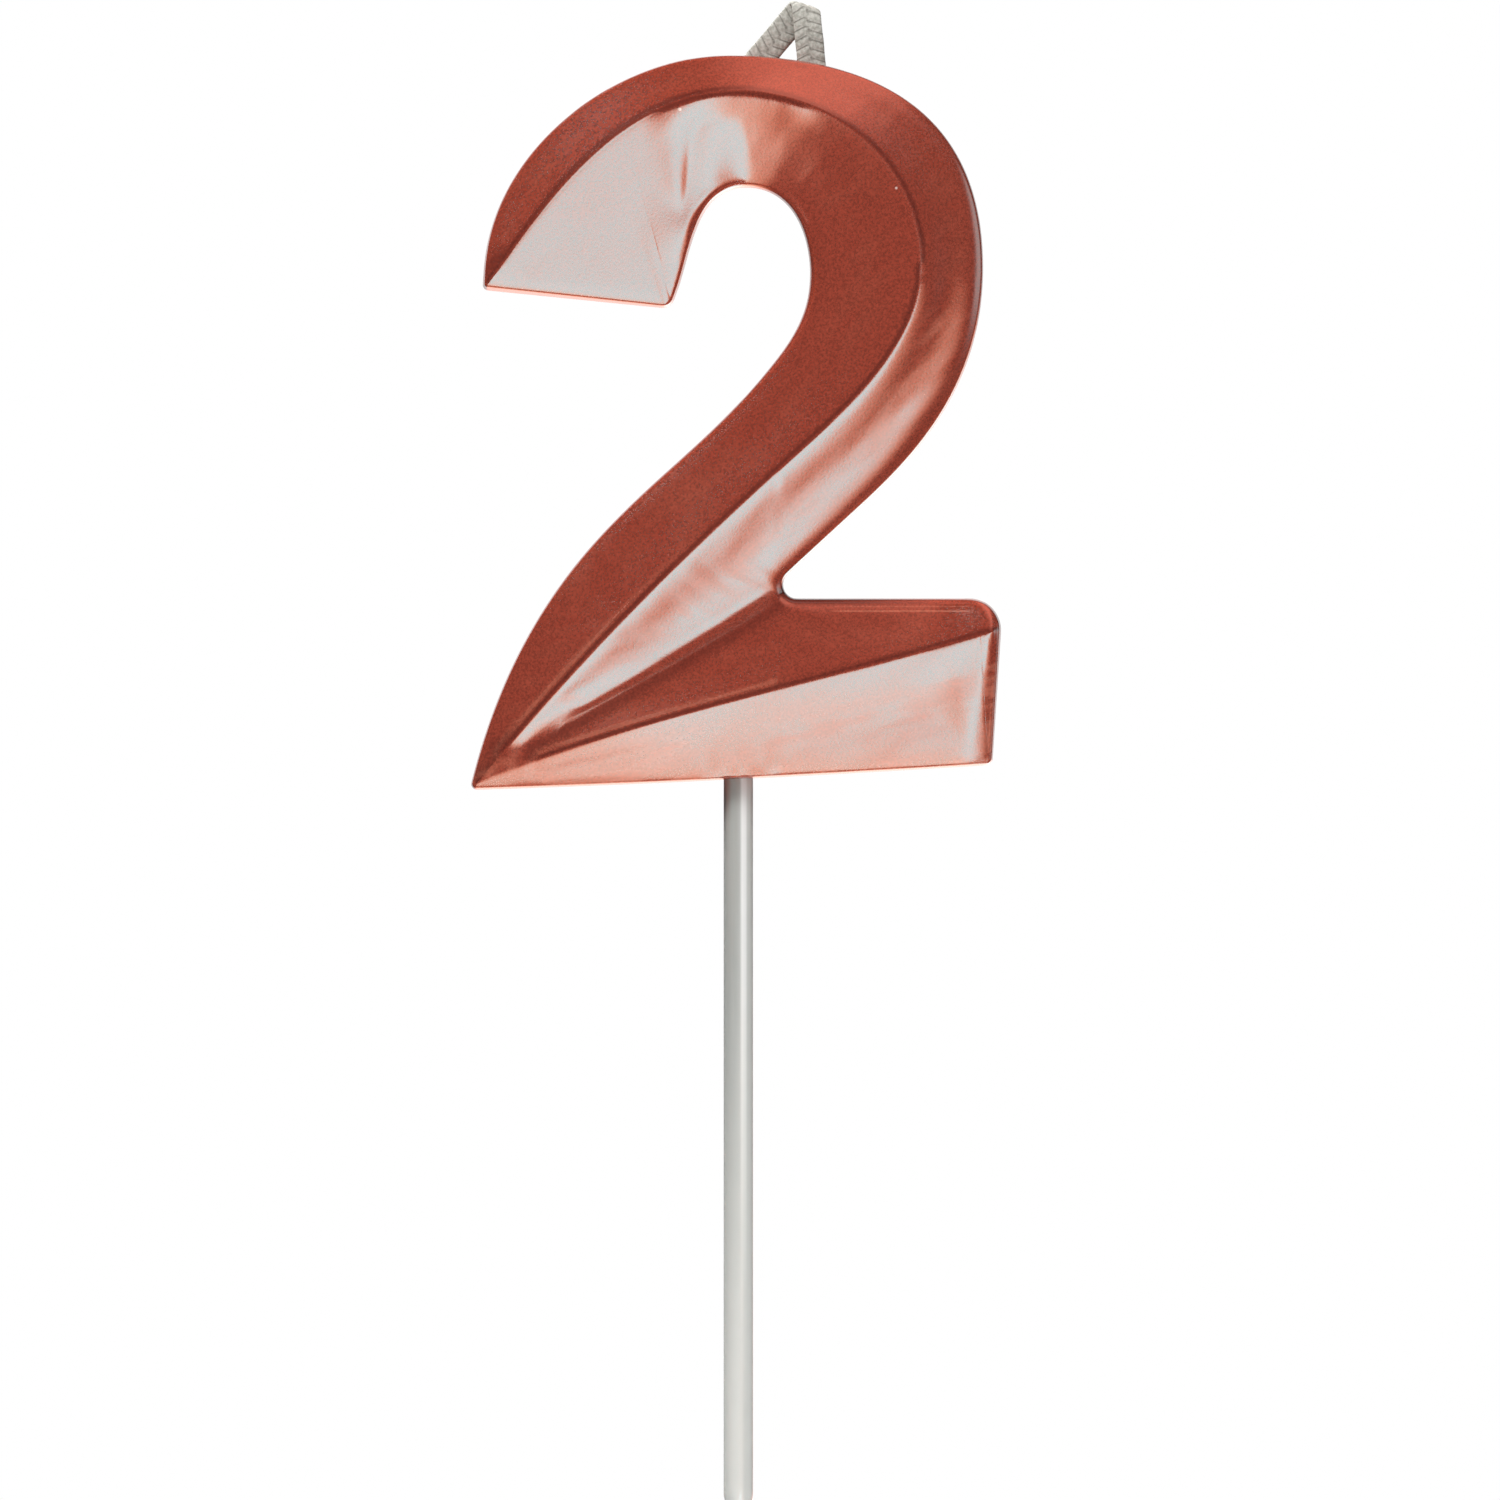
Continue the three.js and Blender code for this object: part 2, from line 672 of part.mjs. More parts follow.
// The folded end of the wick lies behind the stem and is cut level just above the wax.
const tailHeading = 2 * creaseHeading - wickHeading;
const tailDepth = wickThickness + clearance;
const tailTop = step(crease, tailHeading, clearance / 2);
const tailCut = reachHeight(crease, tailHeading, archTop + clearance);
const tail = loft([
  creaseRing(tailTop, tailDepth, tailHeading),
  braidRing(tailCut, tailDepth, 0, slantHalf(tailHeading, 0, wickWidth), wickThickness / 2),
]);

// The pick, and the socket that it leaves in the foot. The underside's height at the pick sets the lift.
const aboveCake = outline.nearest(plan(0, footTipZ), startOf("underside"), endOf("underside"));
const undersideAtPick = outline.at(aboveCake).y;
const figureLift = pickStandOff - undersideAtPick;
const pickTop = pickStandOff + pickInWax;
const pickShape = new THREE.LatheGeometry(
  [
    plan(0, -pickInCake),
    plan(pickPointRadius, -pickInCake),
    plan(pickRadius, -pickInCake + pickPoint),
    plan(pickRadius, pickTop - pickTopChamfer),
    plan(pickRadius - pickTopChamfer, pickTop),
    plan(0, pickTop),
  ],
  32,
);
pickShape.rotateX(Math.PI / 2);
const socket = new THREE.CylinderGeometry(pickRadius + clearance, pickRadius + clearance, 1, 32);
socket.rotateX(Math.PI / 2);
const socketMouth = undersideAtPick - 3;
const socketEnd = undersideAtPick + pickInWax + clearance;
socket.scale(1, 1, socketEnd - socketMouth);
socket.translate(0, 0, (socketEnd + socketMouth) / 2);

const wasm = await Module();
wasm.setup();
function solid(geometry) {
  const bare = geometry.clone();
  bare.deleteAttribute("normal");
  bare.deleteAttribute("uv");
  const merged = mergeVertices(bare, 1e-4);
  return new wasm.Manifold(
    new wasm.Mesh({
      numProp: 3,
      vertProperties: new Float32Array(merged.attributes.position.array),
      triVerts: new Uint32Array(merged.index.array),
    }),
  );
}
function shape(manifold) {
  const mesh = manifold.getMesh();
  const geometry = new THREE.BufferGeometry();
  geometry.setAttribute("position", new THREE.BufferAttribute(mesh.vertProperties, 3));
  geometry.setIndex(new THREE.BufferAttribute(mesh.triVerts, 1));
  return geometry;
}
const wax = shape(solid(figure).subtract(solid(channel)).subtract(solid(socket)));

const copperWax = new THREE.MeshStandardMaterial({ color: 0xa8503c, roughness: 0.32, metalness: 0.6 });
const cotton = new THREE.MeshStandardMaterial({ color: 0xb2a89e, roughness: 0.85, metalness: 0 });
const clearPlastic = new THREE.MeshStandardMaterial({ color: 0xb9bcae, roughness: 0.25, metalness: 0 });

function piece(name, geometry, material) {
  const mesh = new THREE.Mesh(geometry, material);
  mesh.name = name;
  return mesh;
}
const candle = new THREE.Group();
candle.position.z = figureLift;
candle.add(piece("wax_numeral", wax, copperWax));
candle.add(piece("wick_stem", stem, cotton));
candle.add(piece("wick_tail", tail, cotton));
const part = new THREE.Group();
part.add(piece("pick", pickShape, clearPlastic), candle);
export default part;
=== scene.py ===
# %% [markdown]
# A cake candle in the shape of the numeral 2. The real one has three pieces: a figure of moulded wax with
# copper lacquer on it, a braided cotton wick that is folded over at the top, and a clear plastic pick that
# holds the figure above the cake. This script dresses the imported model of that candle. It reads the
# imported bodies, makes one finished piece for each of the three, and sets the light and the camera.

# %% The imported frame
import math

import bmesh
import bpy
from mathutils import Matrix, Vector, noise
from mathutils.bvhtree import BVHTree
from mathutils.kdtree import KDTree


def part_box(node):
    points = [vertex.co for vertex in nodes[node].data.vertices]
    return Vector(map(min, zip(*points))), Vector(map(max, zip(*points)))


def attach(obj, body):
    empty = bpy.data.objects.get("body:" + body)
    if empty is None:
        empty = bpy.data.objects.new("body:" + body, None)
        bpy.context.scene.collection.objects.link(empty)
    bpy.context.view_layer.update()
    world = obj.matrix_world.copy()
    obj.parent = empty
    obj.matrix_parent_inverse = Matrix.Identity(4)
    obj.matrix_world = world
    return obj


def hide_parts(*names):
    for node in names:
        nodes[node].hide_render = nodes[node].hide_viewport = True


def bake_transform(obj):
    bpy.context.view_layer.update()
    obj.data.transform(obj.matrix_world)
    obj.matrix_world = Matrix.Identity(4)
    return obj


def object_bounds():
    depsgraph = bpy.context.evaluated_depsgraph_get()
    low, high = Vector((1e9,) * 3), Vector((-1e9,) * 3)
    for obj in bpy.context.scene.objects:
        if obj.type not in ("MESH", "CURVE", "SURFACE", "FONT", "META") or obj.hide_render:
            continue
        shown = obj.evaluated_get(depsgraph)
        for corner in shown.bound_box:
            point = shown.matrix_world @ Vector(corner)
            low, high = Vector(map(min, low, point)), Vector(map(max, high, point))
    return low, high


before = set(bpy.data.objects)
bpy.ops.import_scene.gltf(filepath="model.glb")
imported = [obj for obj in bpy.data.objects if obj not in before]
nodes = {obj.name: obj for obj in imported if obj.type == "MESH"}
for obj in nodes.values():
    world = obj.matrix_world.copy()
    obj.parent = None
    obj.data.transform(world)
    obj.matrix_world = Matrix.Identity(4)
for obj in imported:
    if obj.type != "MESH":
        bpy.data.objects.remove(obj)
cad_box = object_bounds()
MM = 0.001
print("nodes:", ", ".join(sorted(nodes)))

# %% [markdown]
# The candle was photographed straight from the front, from far enough away that its facets show almost no
# perspective. A long lens from two metres does the same. Its height is the middle of the picture, so the
# camera needs no shift and no tilt, and the pick runs out of the picture at the bottom.

# %% The camera
PICTURE_WIDTH = 153.06 * MM
PICTURE_CENTRE_X = 1.19 * MM
PICTURE_CENTRE_Z = 23.0 * MM
CAMERA_DISTANCE = 2.2
SENSOR_WIDTH_MM = 36.0

camera_data = bpy.data.cameras.new("camera")
camera_data.sensor_width = SENSOR_WIDTH_MM
camera_data.lens = SENSOR_WIDTH_MM * CAMERA_DISTANCE / PICTURE_WIDTH
camera_data.clip_end = 20.0
camera = bpy.data.objects.new("camera", camera_data)
camera.location = (PICTURE_CENTRE_X, -CAMERA_DISTANCE, PICTURE_CENTRE_Z)
camera.rotation_euler = (math.radians(90), 0, 0)
bpy.context.scene.collection.objects.link(camera)
bpy.context.scene.camera = camera
bpy.context.scene.view_settings.view_transform = "Standard"
print("lens in mm:", round(camera_data.lens))

# %% [markdown]
# Materials and the world are node trees. Small helpers keep them short: one adds a node and sets its
# sockets and settings, and the others add the kinds that come often. A socket value that is itself a
# socket becomes a link.


# %% Helpers for node trees
def put(tree, socket, value):
    """Sets a socket to a value, or links it where the value is another socket."""
    if isinstance(value, bpy.types.NodeSocket):
        tree.links.new(value, socket)
    else:
        socket.default_value = value


def add_node(tree, kind, sockets=None, **settings):
    """Adds a node, with its settings first because they decide which sockets it has."""
    node = tree.nodes.new(kind)
    for name, value in settings.items():
        setattr(node, name, value)
    for name, value in (sockets or {}).items():
        put(tree, node.inputs[name], value)
    return node


def math_node(tree, operation, *values, clamp=False):
    node = tree.nodes.new("ShaderNodeMath")
    node.operation = operation
    node.use_clamp = clamp
    for socket, value in zip(node.inputs, values):
        put(tree, socket, value)
    return node.outputs[0]


def vector_node(tree, operation, sockets, result=0):
    return add_node(tree, "ShaderNodeVectorMath", sockets, operation=operation).outputs[result]


def step_node(tree, value, low, high):
    """0 below low, 1 above high and smooth between. With low above high it falls instead."""
    node = tree.nodes.new("ShaderNodeMapRange")
    node.interpolation_type = "SMOOTHSTEP"
    for name, setting in zip(("Value", "From Min", "From Max"), (value, low, high)):
        put(tree, node.inputs[name], setting)
    return node.outputs[0]


def slope_node(tree, value, low, high):
    """0 below low, 1 above high and even between. With low above high it falls instead."""
    node = add_node(tree, "ShaderNodeMapRange", {"Value": value, "From Min": low, "From Max": high})
    return node.outputs[0]


def noise_node(tree, where, scale, detail):
    sockets = {"Vector": where, "Scale": scale, "Detail": detail}
    return add_node(tree, "ShaderNodeTexNoise", sockets).outputs["Fac"]


def blend_colours(tree, share, first, second, mode="MIX"):
    node = tree.nodes.new("ShaderNodeMix")
    node.data_type = "RGBA"
    node.blend_type = mode
    for index, value in ((0, share), (6, first), (7, second)):
        put(tree, node.inputs[index], value)
    return node.outputs[2]


# %% [markdown]
# Lacquer with metal flake in it is nearly a mirror, so most of what the eye sees on it is the studio. The
# world here is that studio. It is white where the camera looks past the candle. For reflections it holds
# one bright screen, low and to the right of the photographer, with a copper rim that fades into a dim
# room. It adds a warm glow overhead and a pale wall on the far right, which shows in the figure's edge. So
# the facets that face down and right turn pale, with salmon borders, and the others keep their deep copper.
# The screen is laid out on a plane across the line of sight: "out" is the distance along its own bearing,
# and "aside" is the distance from that bearing. Its left side widens with the distance, its right side
# keeps a dimmer copper strip, and its top is cut off level. It is the same behind the candle as in front, so
# the back looks like the front.

# %% The world
SCREEN_BEARING = math.radians(-58)
SCREEN_NEAR = (0.0, 0.29)
SCREEN_FAR = (1.6, 2.7)
SCREEN_FAR_DIM = -0.6
SCREEN_LEFT = (0.05, 0.90)
SCREEN_LEFT_FADE = (1.7, 0.1)
SCREEN_RIGHT_FADE = (0.68, 0.48)
SCREEN_RIGHT_RIM = (1.05, 0.66)
SCREEN_RIM_SHARE = 0.44
SCREEN_TOP = (0.0, -0.16)
SCREEN_STRENGTH = 2.8
SCREEN_COLOURS = (
    (0.0, (0.0, 0.0, 0.0, 1)),
    (0.15, (0.18, 0.04, 0.02, 1)),
    (0.35, (0.50, 0.155, 0.092, 1)),
    (0.50, (0.78, 0.29, 0.19, 1)),
    (0.66, (0.92, 0.53, 0.41, 1)),
    (0.80, (0.84, 0.74, 0.67, 1)),
    (0.93, (0.63, 0.88, 0.90, 1)),
)
GLOW_PLACE = (0.28, 0.91)
GLOW_REACH = (0.42, 0.12)
GLOW_COLOUR = (1.0, 0.23, 0.16)
GLOW_STRENGTH = 1.5
SIDE_WALL_FROM = (0.84, 0.97)
SIDE_WALL_STRENGTH = 0.8
SIDE_WALL_LOW = (-0.40, 0.0)
ROOM_STRENGTH = 0.03
AMBIENT_STRENGTH = 0.22
BACKDROP_CONE = (0.93, 0.99)
THROUGH_STRENGTH = 0.75

world = bpy.data.worlds.new("studio")
bpy.context.scene.world = world
world.use_nodes = True
sky = world.node_tree
sky.nodes.clear()
looking = add_node(sky, "ShaderNodeTexCoord").outputs["Generated"]
direction = add_node(sky, "ShaderNodeSeparateXYZ", {0: looking})
facing = math_node(sky, "MAXIMUM", math_node(sky, "ABSOLUTE", direction.outputs["Y"]), 0.02)
right = math_node(sky, "DIVIDE", direction.outputs["X"], facing)
up = math_node(sky, "DIVIDE", direction.outputs["Z"], facing)
out = math_node(
    sky,
    "ADD",
    math_node(sky, "MULTIPLY", right, math.cos(SCREEN_BEARING)),
    math_node(sky, "MULTIPLY", up, math.sin(SCREEN_BEARING)),
)
aside = math_node(
    sky,
    "SUBTRACT",
    math_node(sky, "MULTIPLY", up, math.cos(SCREEN_BEARING)),
    math_node(sky, "MULTIPLY", right, math.sin(SCREEN_BEARING)),
)
ahead = math_node(sky, "MAXIMUM", out, 0.0)
left_width = math_node(sky, "MULTIPLY_ADD", ahead, SCREEN_LEFT[1], SCREEN_LEFT[0])
from_middle = math_node(sky, "DIVIDE", math_node(sky, "MULTIPLY", aside, -1.0), left_width)
left_side = slope_node(sky, from_middle, *SCREEN_LEFT_FADE)
glow = math_node(sky, "MULTIPLY", left_side, step_node(sky, out, *SCREEN_NEAR))
rim = math_node(sky, "MULTIPLY", slope_node(sky, right, *SCREEN_RIGHT_RIM), SCREEN_RIM_SHARE)
right_side = math_node(sky, "MAXIMUM", slope_node(sky, right, *SCREEN_RIGHT_FADE), rim)
glow = math_node(sky, "MULTIPLY", glow, right_side)
glow = math_node(sky, "MULTIPLY", glow, step_node(sky, up, *SCREEN_TOP))
dim = math_node(sky, "MULTIPLY_ADD", step_node(sky, out, *SCREEN_FAR), SCREEN_FAR_DIM, 1.0)
rim_colour = add_node(sky, "ShaderNodeValToRGB", {"Fac": math_node(sky, "MULTIPLY", glow, dim)})
stops = rim_colour.color_ramp.elements
for stop, (place, colour) in zip((stops[0], stops[1]), (SCREEN_COLOURS[0], SCREEN_COLOURS[-1])):
    stop.position = place
    stop.color = colour
for place, colour in SCREEN_COLOURS[1:-1]:
    stops.new(place).color = colour
bright = vector_node(sky, "SCALE", {0: rim_colour.outputs["Color"], "Scale": SCREEN_STRENGTH})

overhead = add_node(sky, "ShaderNodeCombineXYZ", {"X": direction.outputs["X"], "Y": direction.outputs["Z"]})
away = vector_node(sky, "DISTANCE", {0: overhead.outputs[0], 1: (*GLOW_PLACE, 0)}, "Value")
warmth = math_node(sky, "MULTIPLY", step_node(sky, away, *GLOW_REACH), GLOW_STRENGTH)
warm_glow = vector_node(sky, "SCALE", {0: GLOW_COLOUR, "Scale": warmth})
behind = step_node(sky, direction.outputs["Y"], *BACKDROP_CONE)
side_wall = step_node(sky, direction.outputs["X"], *SIDE_WALL_FROM)
side_wall = math_node(sky, "MULTIPLY", side_wall, SIDE_WALL_STRENGTH)
side_wall = math_node(sky, "MULTIPLY", side_wall, step_node(sky, direction.outputs["Z"], *SIDE_WALL_LOW))
plain = math_node(sky, "MAXIMUM", behind, side_wall)
plain = math_node(sky, "MAXIMUM", plain, ROOM_STRENGTH)
plain = vector_node(sky, "ADD", {0: warm_glow, 1: plain})
reflected = vector_node(sky, "ADD", {0: bright, 1: plain})
ray = add_node(sky, "ShaderNodeLightPath")
through = math_node(sky, "MAXIMUM", behind, THROUGH_STRENGTH)
level = math_node(sky, "MULTIPLY", ray.outputs["Is Diffuse Ray"], AMBIENT_STRENGTH)
through = math_node(sky, "MULTIPLY", ray.outputs["Is Transmission Ray"], through)
level = math_node(sky, "MAXIMUM", level, through)
level = math_node(sky, "MAXIMUM", level, ray.outputs["Is Camera Ray"])
studio = blend_colours(sky, ray.outputs["Is Glossy Ray"], level, reflected)
background = add_node(sky, "ShaderNodeBackground", {"Color": studio, "Strength": 1.0})
add_node(sky, "ShaderNodeOutputWorld", {"Surface": background.outputs[0]})

# %% [markdown]
# Three soft boxes stand in front of the candle and three more behind it, the same way round: the main one
# high on the left, a weak one high on the right and one from below. The one below lifts the underside of
# the figure, and its light passes the floor. They light the pigment, the cotton and the plastic. Reflections
# leave them out, because the world holds what the lacquer reflects.

# %% The lamps
LAMP_OFF_AXIS = math.radians(60)
LAMP_DISTANCE = 1.1
LAMP_SIZE = 0.5
FIGURE_MIDDLE = Vector((0, 0, 55 * MM))


def soft_box(name, side, bearing, watts):
    """A square lamp that faces the middle of the figure. The bearing counts from the x axis towards z."""
    data = bpy.data.lights.new(name, "AREA")
    data.energy = watts
    data.size = LAMP_SIZE
    lamp = bpy.data.objects.new(name, data)
    across = math.sin(LAMP_OFF_AXIS)
    away = Vector((across * math.cos(bearing), side * math.cos(LAMP_OFF_AXIS), across * math.sin(bearing)))
    lamp.location = FIGURE_MIDDLE + away * LAMP_DISTANCE
    lamp.rotation_euler = (-away).to_track_quat("-Z", "Y").to_euler()
    lamp.visible_glossy = False
    lamp.visible_transmission = False
    bpy.context.scene.collection.objects.link(lamp)


for side, name in ((-1, "front"), (1, "back")):
    soft_box(f"left_{name}", side, math.radians(122), 14.4)
    soft_box(f"right_{name}", side, math.radians(48), 3.3)
    soft_box(f"low_{name}", side, math.radians(-75), 10.8)

# %% [markdown]
# The floor is a pale disc under the pick's point. Near the candle it is ordinary paint that takes the
# shadow. Further out it fades into the white of the background, so no edge shows in any view. Reflections
# look past it to the studio.

# %% The floor
FLOOR_DROP = 0.4 * MM
FLOOR_RADIUS = 1.2
FADE_FROM = 0.05
FADE_TO = 0.16

floor_mesh = bpy.data.meshes.new("floor")
disc = bmesh.new()
bmesh.ops.create_circle(disc, cap_ends=True, segments=96, radius=FLOOR_RADIUS)
bmesh.ops.translate(disc, verts=disc.verts, vec=(0, 0, cad_box[0].z - FLOOR_DROP))
disc.to_mesh(floor_mesh)
disc.free()
floor = bpy.data.objects.new("floor", floor_mesh)
bpy.context.scene.collection.objects.link(floor)
floor.visible_diffuse = False
floor.visible_glossy = False
floor.visible_transmission = False
floor.visible_shadow = False

pale_paint = bpy.data.materials.new("pale_floor")
pale_paint.use_nodes = True
paint = pale_paint.node_tree
paint.nodes.clear()
place = add_node(paint, "ShaderNodeTexCoord").outputs["Object"]
flat_place = vector_node(paint, "MULTIPLY", {0: place, 1: (1, 1, 0)})
reach = vector_node(paint, "LENGTH", {0: flat_place}, "Value")
fade = step_node(paint, reach, FADE_FROM, FADE_TO)
camera_ray = add_node(paint, "ShaderNodeLightPath").outputs["Is Camera Ray"]
white_share = math_node(paint, "MULTIPLY", fade, camera_ray)
matt = add_node(paint, "ShaderNodeBsdfDiffuse", {"Color": (0.82, 0.82, 0.82, 1)})
white = add_node(paint, "ShaderNodeEmission", {"Color": (1, 1, 1, 1), "Strength": 1.0})
mixed = add_node(paint, "ShaderNodeMixShader", {0: white_share, 1: matt.outputs[0], 2: white.outputs[0]})
add_node(paint, "ShaderNodeOutputMaterial", {"Surface": mixed.outputs[0]})
floor_mesh.materials.append(pale_paint)

# %% [markdown]
# The copper finish is pigment under a clear coat that is full of fine metal flake. The pigment gives the
# deep red brown, the flake gives a strong and almost colourless reflection, so the index of refraction is
# that of a half mirror and not of varnish. Sprayed flake lies unevenly: a fine grain shows all over, and
# the coat is rougher in long rubbed streaks and along the edges, where it is thin. There the pigment is also
# painted a warmer, lighter copper, which is painted reflection: the salmon tone of the studio's screen. Four
# values that later cells write on the figure's points steer it: "rub" for those streaks, "glint" for a
# painted highlight line beside a crest, "shade" for painted shade in the hollows, and "stroke" for the
# direction of the streaks. Two chips show bare wax, one spot is dark, and two painted highlight lines run
# under the bar's top. Their places are in mm.

# %% The copper lacquer
DEEP_COPPER = (0.278, 0.040, 0.020, 1)
WARM_COPPER = (0.444, 0.111, 0.061, 1)
# The colour of the painted shade in the hollows.
PAINTED_SHADE_COPPER = (0.105, 0.0125, 0.0063, 1)
BARE_WAX = (0.74, 0.58, 0.52, 1)
DARK_SPOT = (0.06, 0.010, 0.007, 1)
CHIPS = (((-5.95, -5.9, 88.2), 0.26), ((16.1, -5.8, 80.2), 0.22))
SPOTS = (((6.8, -5.0, 28.7), 0.35),)
# Painted highlights: two level lines along the bar's rounded top edge, in mm.
BAR_HIGHLIGHTS = ((37.63, 0.11, 0.5), (37.15, 0.13, 0.9))
BAR_HIGHLIGHT_ENDS = (8.5, 24.5)
DARK_GRAIN = (0.74, 0.74, 0.74, 1)
LIGHT_GRAIN = (1.18, 1.18, 1.18, 1)
FLAKE_TINT = (0.82, 1.0, 1.0, 1)
FLAKE_IOR = 3.0


def near_points(tree, where, points):
    """1 inside small balls about some points of the surface, 0 elsewhere."""
    inside = 0.0
    for centre, radius in points:
        away = vector_node(tree, "DISTANCE", {0: where, 1: [v * MM for v in centre]}, "Value")
        inside = math_node(tree, "MAXIMUM", inside, step_node(tree, away, radius * MM, 0.4 * radius * MM))
    return inside


def bar_highlights(tree, where):
    """Thin level lines under the bar's top: painted highlights along its rounded edge."""
    place = add_node(tree, "ShaderNodeSeparateXYZ", {0: where})
    lines = 0.0
    for height, width, strength in BAR_HIGHLIGHTS:
        away = math_node(tree, "ABSOLUTE", math_node(tree, "SUBTRACT", place.outputs["Z"], height * MM))
        highlight_line = math_node(tree, "MULTIPLY", step_node(tree, away, width * MM, 0.3 * width * MM), strength)
        lines = math_node(tree, "MAXIMUM", lines, highlight_line)
    left = step_node(tree, place.outputs["X"], BAR_HIGHLIGHT_ENDS[0] * MM, (BAR_HIGHLIGHT_ENDS[0] + 3) * MM)
    right = step_node(tree, place.outputs["X"], BAR_HIGHLIGHT_ENDS[1] * MM, (BAR_HIGHLIGHT_ENDS[1] - 2) * MM)
    return math_node(tree, "MULTIPLY", lines, math_node(tree, "MULTIPLY", left, right))


def copper_lacquer():
    material = bpy.data.materials.new("copper_lacquer")
    material.use_nodes = True
    tree = material.node_tree
    tree.nodes.clear()
    where = add_node(tree, "ShaderNodeTexCoord").outputs["Object"]
    cloud = noise_node(tree, where, 120.0, 3.0)
    grain = noise_node(tree, where, 4200.0, 3.0)
    stroke = add_node(tree, "ShaderNodeAttribute", attribute_name="stroke").outputs["Vector"]
    streak = noise_node(tree, stroke, 1.0, 2.0)
    # Rubbed streaks: the lacquer is rougher there, and its warmer, lighter pigment is painted reflection.
    rub_and_sheen = add_node(tree, "ShaderNodeAttribute", attribute_name="rub_and_sheen").outputs["Fac"]
    rub_and_sheen = math_node(tree, "MULTIPLY", rub_and_sheen, step_node(tree, streak, 0.40, 0.64))
    warm = math_node(tree, "MULTIPLY", step_node(tree, cloud, 0.45, 0.75), 0.15)
    warm = math_node(tree, "ADD", warm, rub_and_sheen)
    # Painted highlight: the glint line beside the lower crest paints the pigment warmer and lighter.
    glint = add_node(tree, "ShaderNodeAttribute", attribute_name="glint").outputs["Fac"]
    # The painted highlight lines under the bar's top lighten the pigment the same way.
    warm = math_node(tree, "ADD", warm, math_node(tree, "MAXIMUM", glint, bar_highlights(tree, where)), clamp=True)
    pigment = blend_colours(tree, warm, DEEP_COPPER, WARM_COPPER)
    # Painted shade: darker copper beside crests, in the valley and under the bar's top edge.
    shade = add_node(tree, "ShaderNodeAttribute", attribute_name="shade").outputs["Fac"]
    pigment = blend_colours(tree, shade, pigment, PAINTED_SHADE_COPPER)
    pigment = blend_colours(tree, near_points(tree, where, SPOTS), pigment, DARK_SPOT)
    pigment = blend_colours(tree, near_points(tree, where, CHIPS), pigment, BARE_WAX)
    speckle = blend_colours(tree, step_node(tree, grain, 0.3, 0.7), DARK_GRAIN, LIGHT_GRAIN)
    pigment = blend_colours(tree, 1.0, pigment, speckle, "MULTIPLY")
    rough = math_node(tree, "MULTIPLY_ADD", warm, 0.16, 0.17)
    rough = math_node(tree, "MULTIPLY_ADD", grain, 0.06, rough)
    bump = add_node(tree, "ShaderNodeBump", {"Height": grain, "Strength": 0.35, "Distance": 0.02 * MM})
    shader = add_node(
        tree,
        "ShaderNodeBsdfPrincipled",
        {
            "Base Color": pigment,
            "Roughness": rough,
            "Normal": bump.outputs["Normal"],
            "IOR": FLAKE_IOR,
            "Specular Tint": FLAKE_TINT,
        },
    )
    add_node(tree, "ShaderNodeOutputMaterial", {"Surface": shader.outputs[0]})
    return material


# %% [markdown]
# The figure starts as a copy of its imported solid. That copy is closed first: its socket and the channel for
# the wick are taken out, because a hole's wall faces the piece that fills it, and the openings are filled.
# Then triangles are joined to quads. A quad mesh keeps its flow along the strokes, so the smoothing that
# follows rounds each edge evenly and leaves the facets flat.

# %% A clean copy of the figure
HOLE_REACH = 0.7 * MM
WIDE_FACET = 2.7 * MM


def tree_of(node_name):
    """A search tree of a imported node's surface."""
    solid = bmesh.new()
    solid.from_mesh(nodes[node_name].data)
    tree = BVHTree.FromBMesh(solid)
    solid.free()
    return tree


def without_holes(figure, filler):
    """Takes out the faces of the hole that a filler piece stands in, and closes its mouth."""
    tree = tree_of(filler)
    walls = []
    for face in figure.faces:
        centre = face.calc_center_median()
        nearest, _, _, distance = tree.find_nearest(centre)
        if distance < HOLE_REACH and face.normal.dot(nearest - centre) > 0.6 * distance:
            walls.append(face)
    bmesh.ops.delete(figure, geom=walls, context="FACES")
    rim = [edge for edge in figure.edges if edge.is_boundary]
    lids = bmesh.ops.holes_fill(figure, edges=rim, sides=0)["faces"]
    for lid in lids:
        middle = lid.calc_center_median()
        near = [vert for vert in figure.verts if (vert.co - middle).length < 5 * MM]
        known = set(near)
        links = [edge for edge in figure.edges if known.issuperset(edge.verts)]
        bmesh.ops.dissolve_limit(figure, angle_limit=math.radians(2), verts=near, edges=links)
    print("hole of", filler, "had", len(walls), "faces")


figure = bmesh.new()
figure.from_mesh(nodes["wax_numeral"].data)
bmesh.ops.remove_doubles(figure, verts=figure.verts, dist=0.002 * MM)
figure.normal_update()
without_holes(figure, "wick_stem")
without_holes(figure, "pick")
bmesh.ops.join_triangles(
    figure,
    faces=figure.faces,
    angle_face_threshold=math.radians(30),
    angle_shape_threshold=math.radians(180),
)
wide = [edge for edge in figure.edges if edge.calc_length() > WIDE_FACET]
bmesh.ops.subdivide_edges(figure, edges=wide, cuts=3, use_grid_fill=True)
print("figure cage:", len(figure.faces), "faces")

# %% [markdown]
# The lines of the figure are found on this cage, because later steps work with distances from them: the
# crests of the ridges, the valley, and the outline. A crest is an edge between two facets that stick out,
# a valley is one between two that fall in, and the outline is the loop half way between front and back. The
# two facets of a real crest or valley lean opposite ways in the front view, which small steps inside one
# facet don't. The valley is drawn out to the foot, where it gets too shallow to be found.

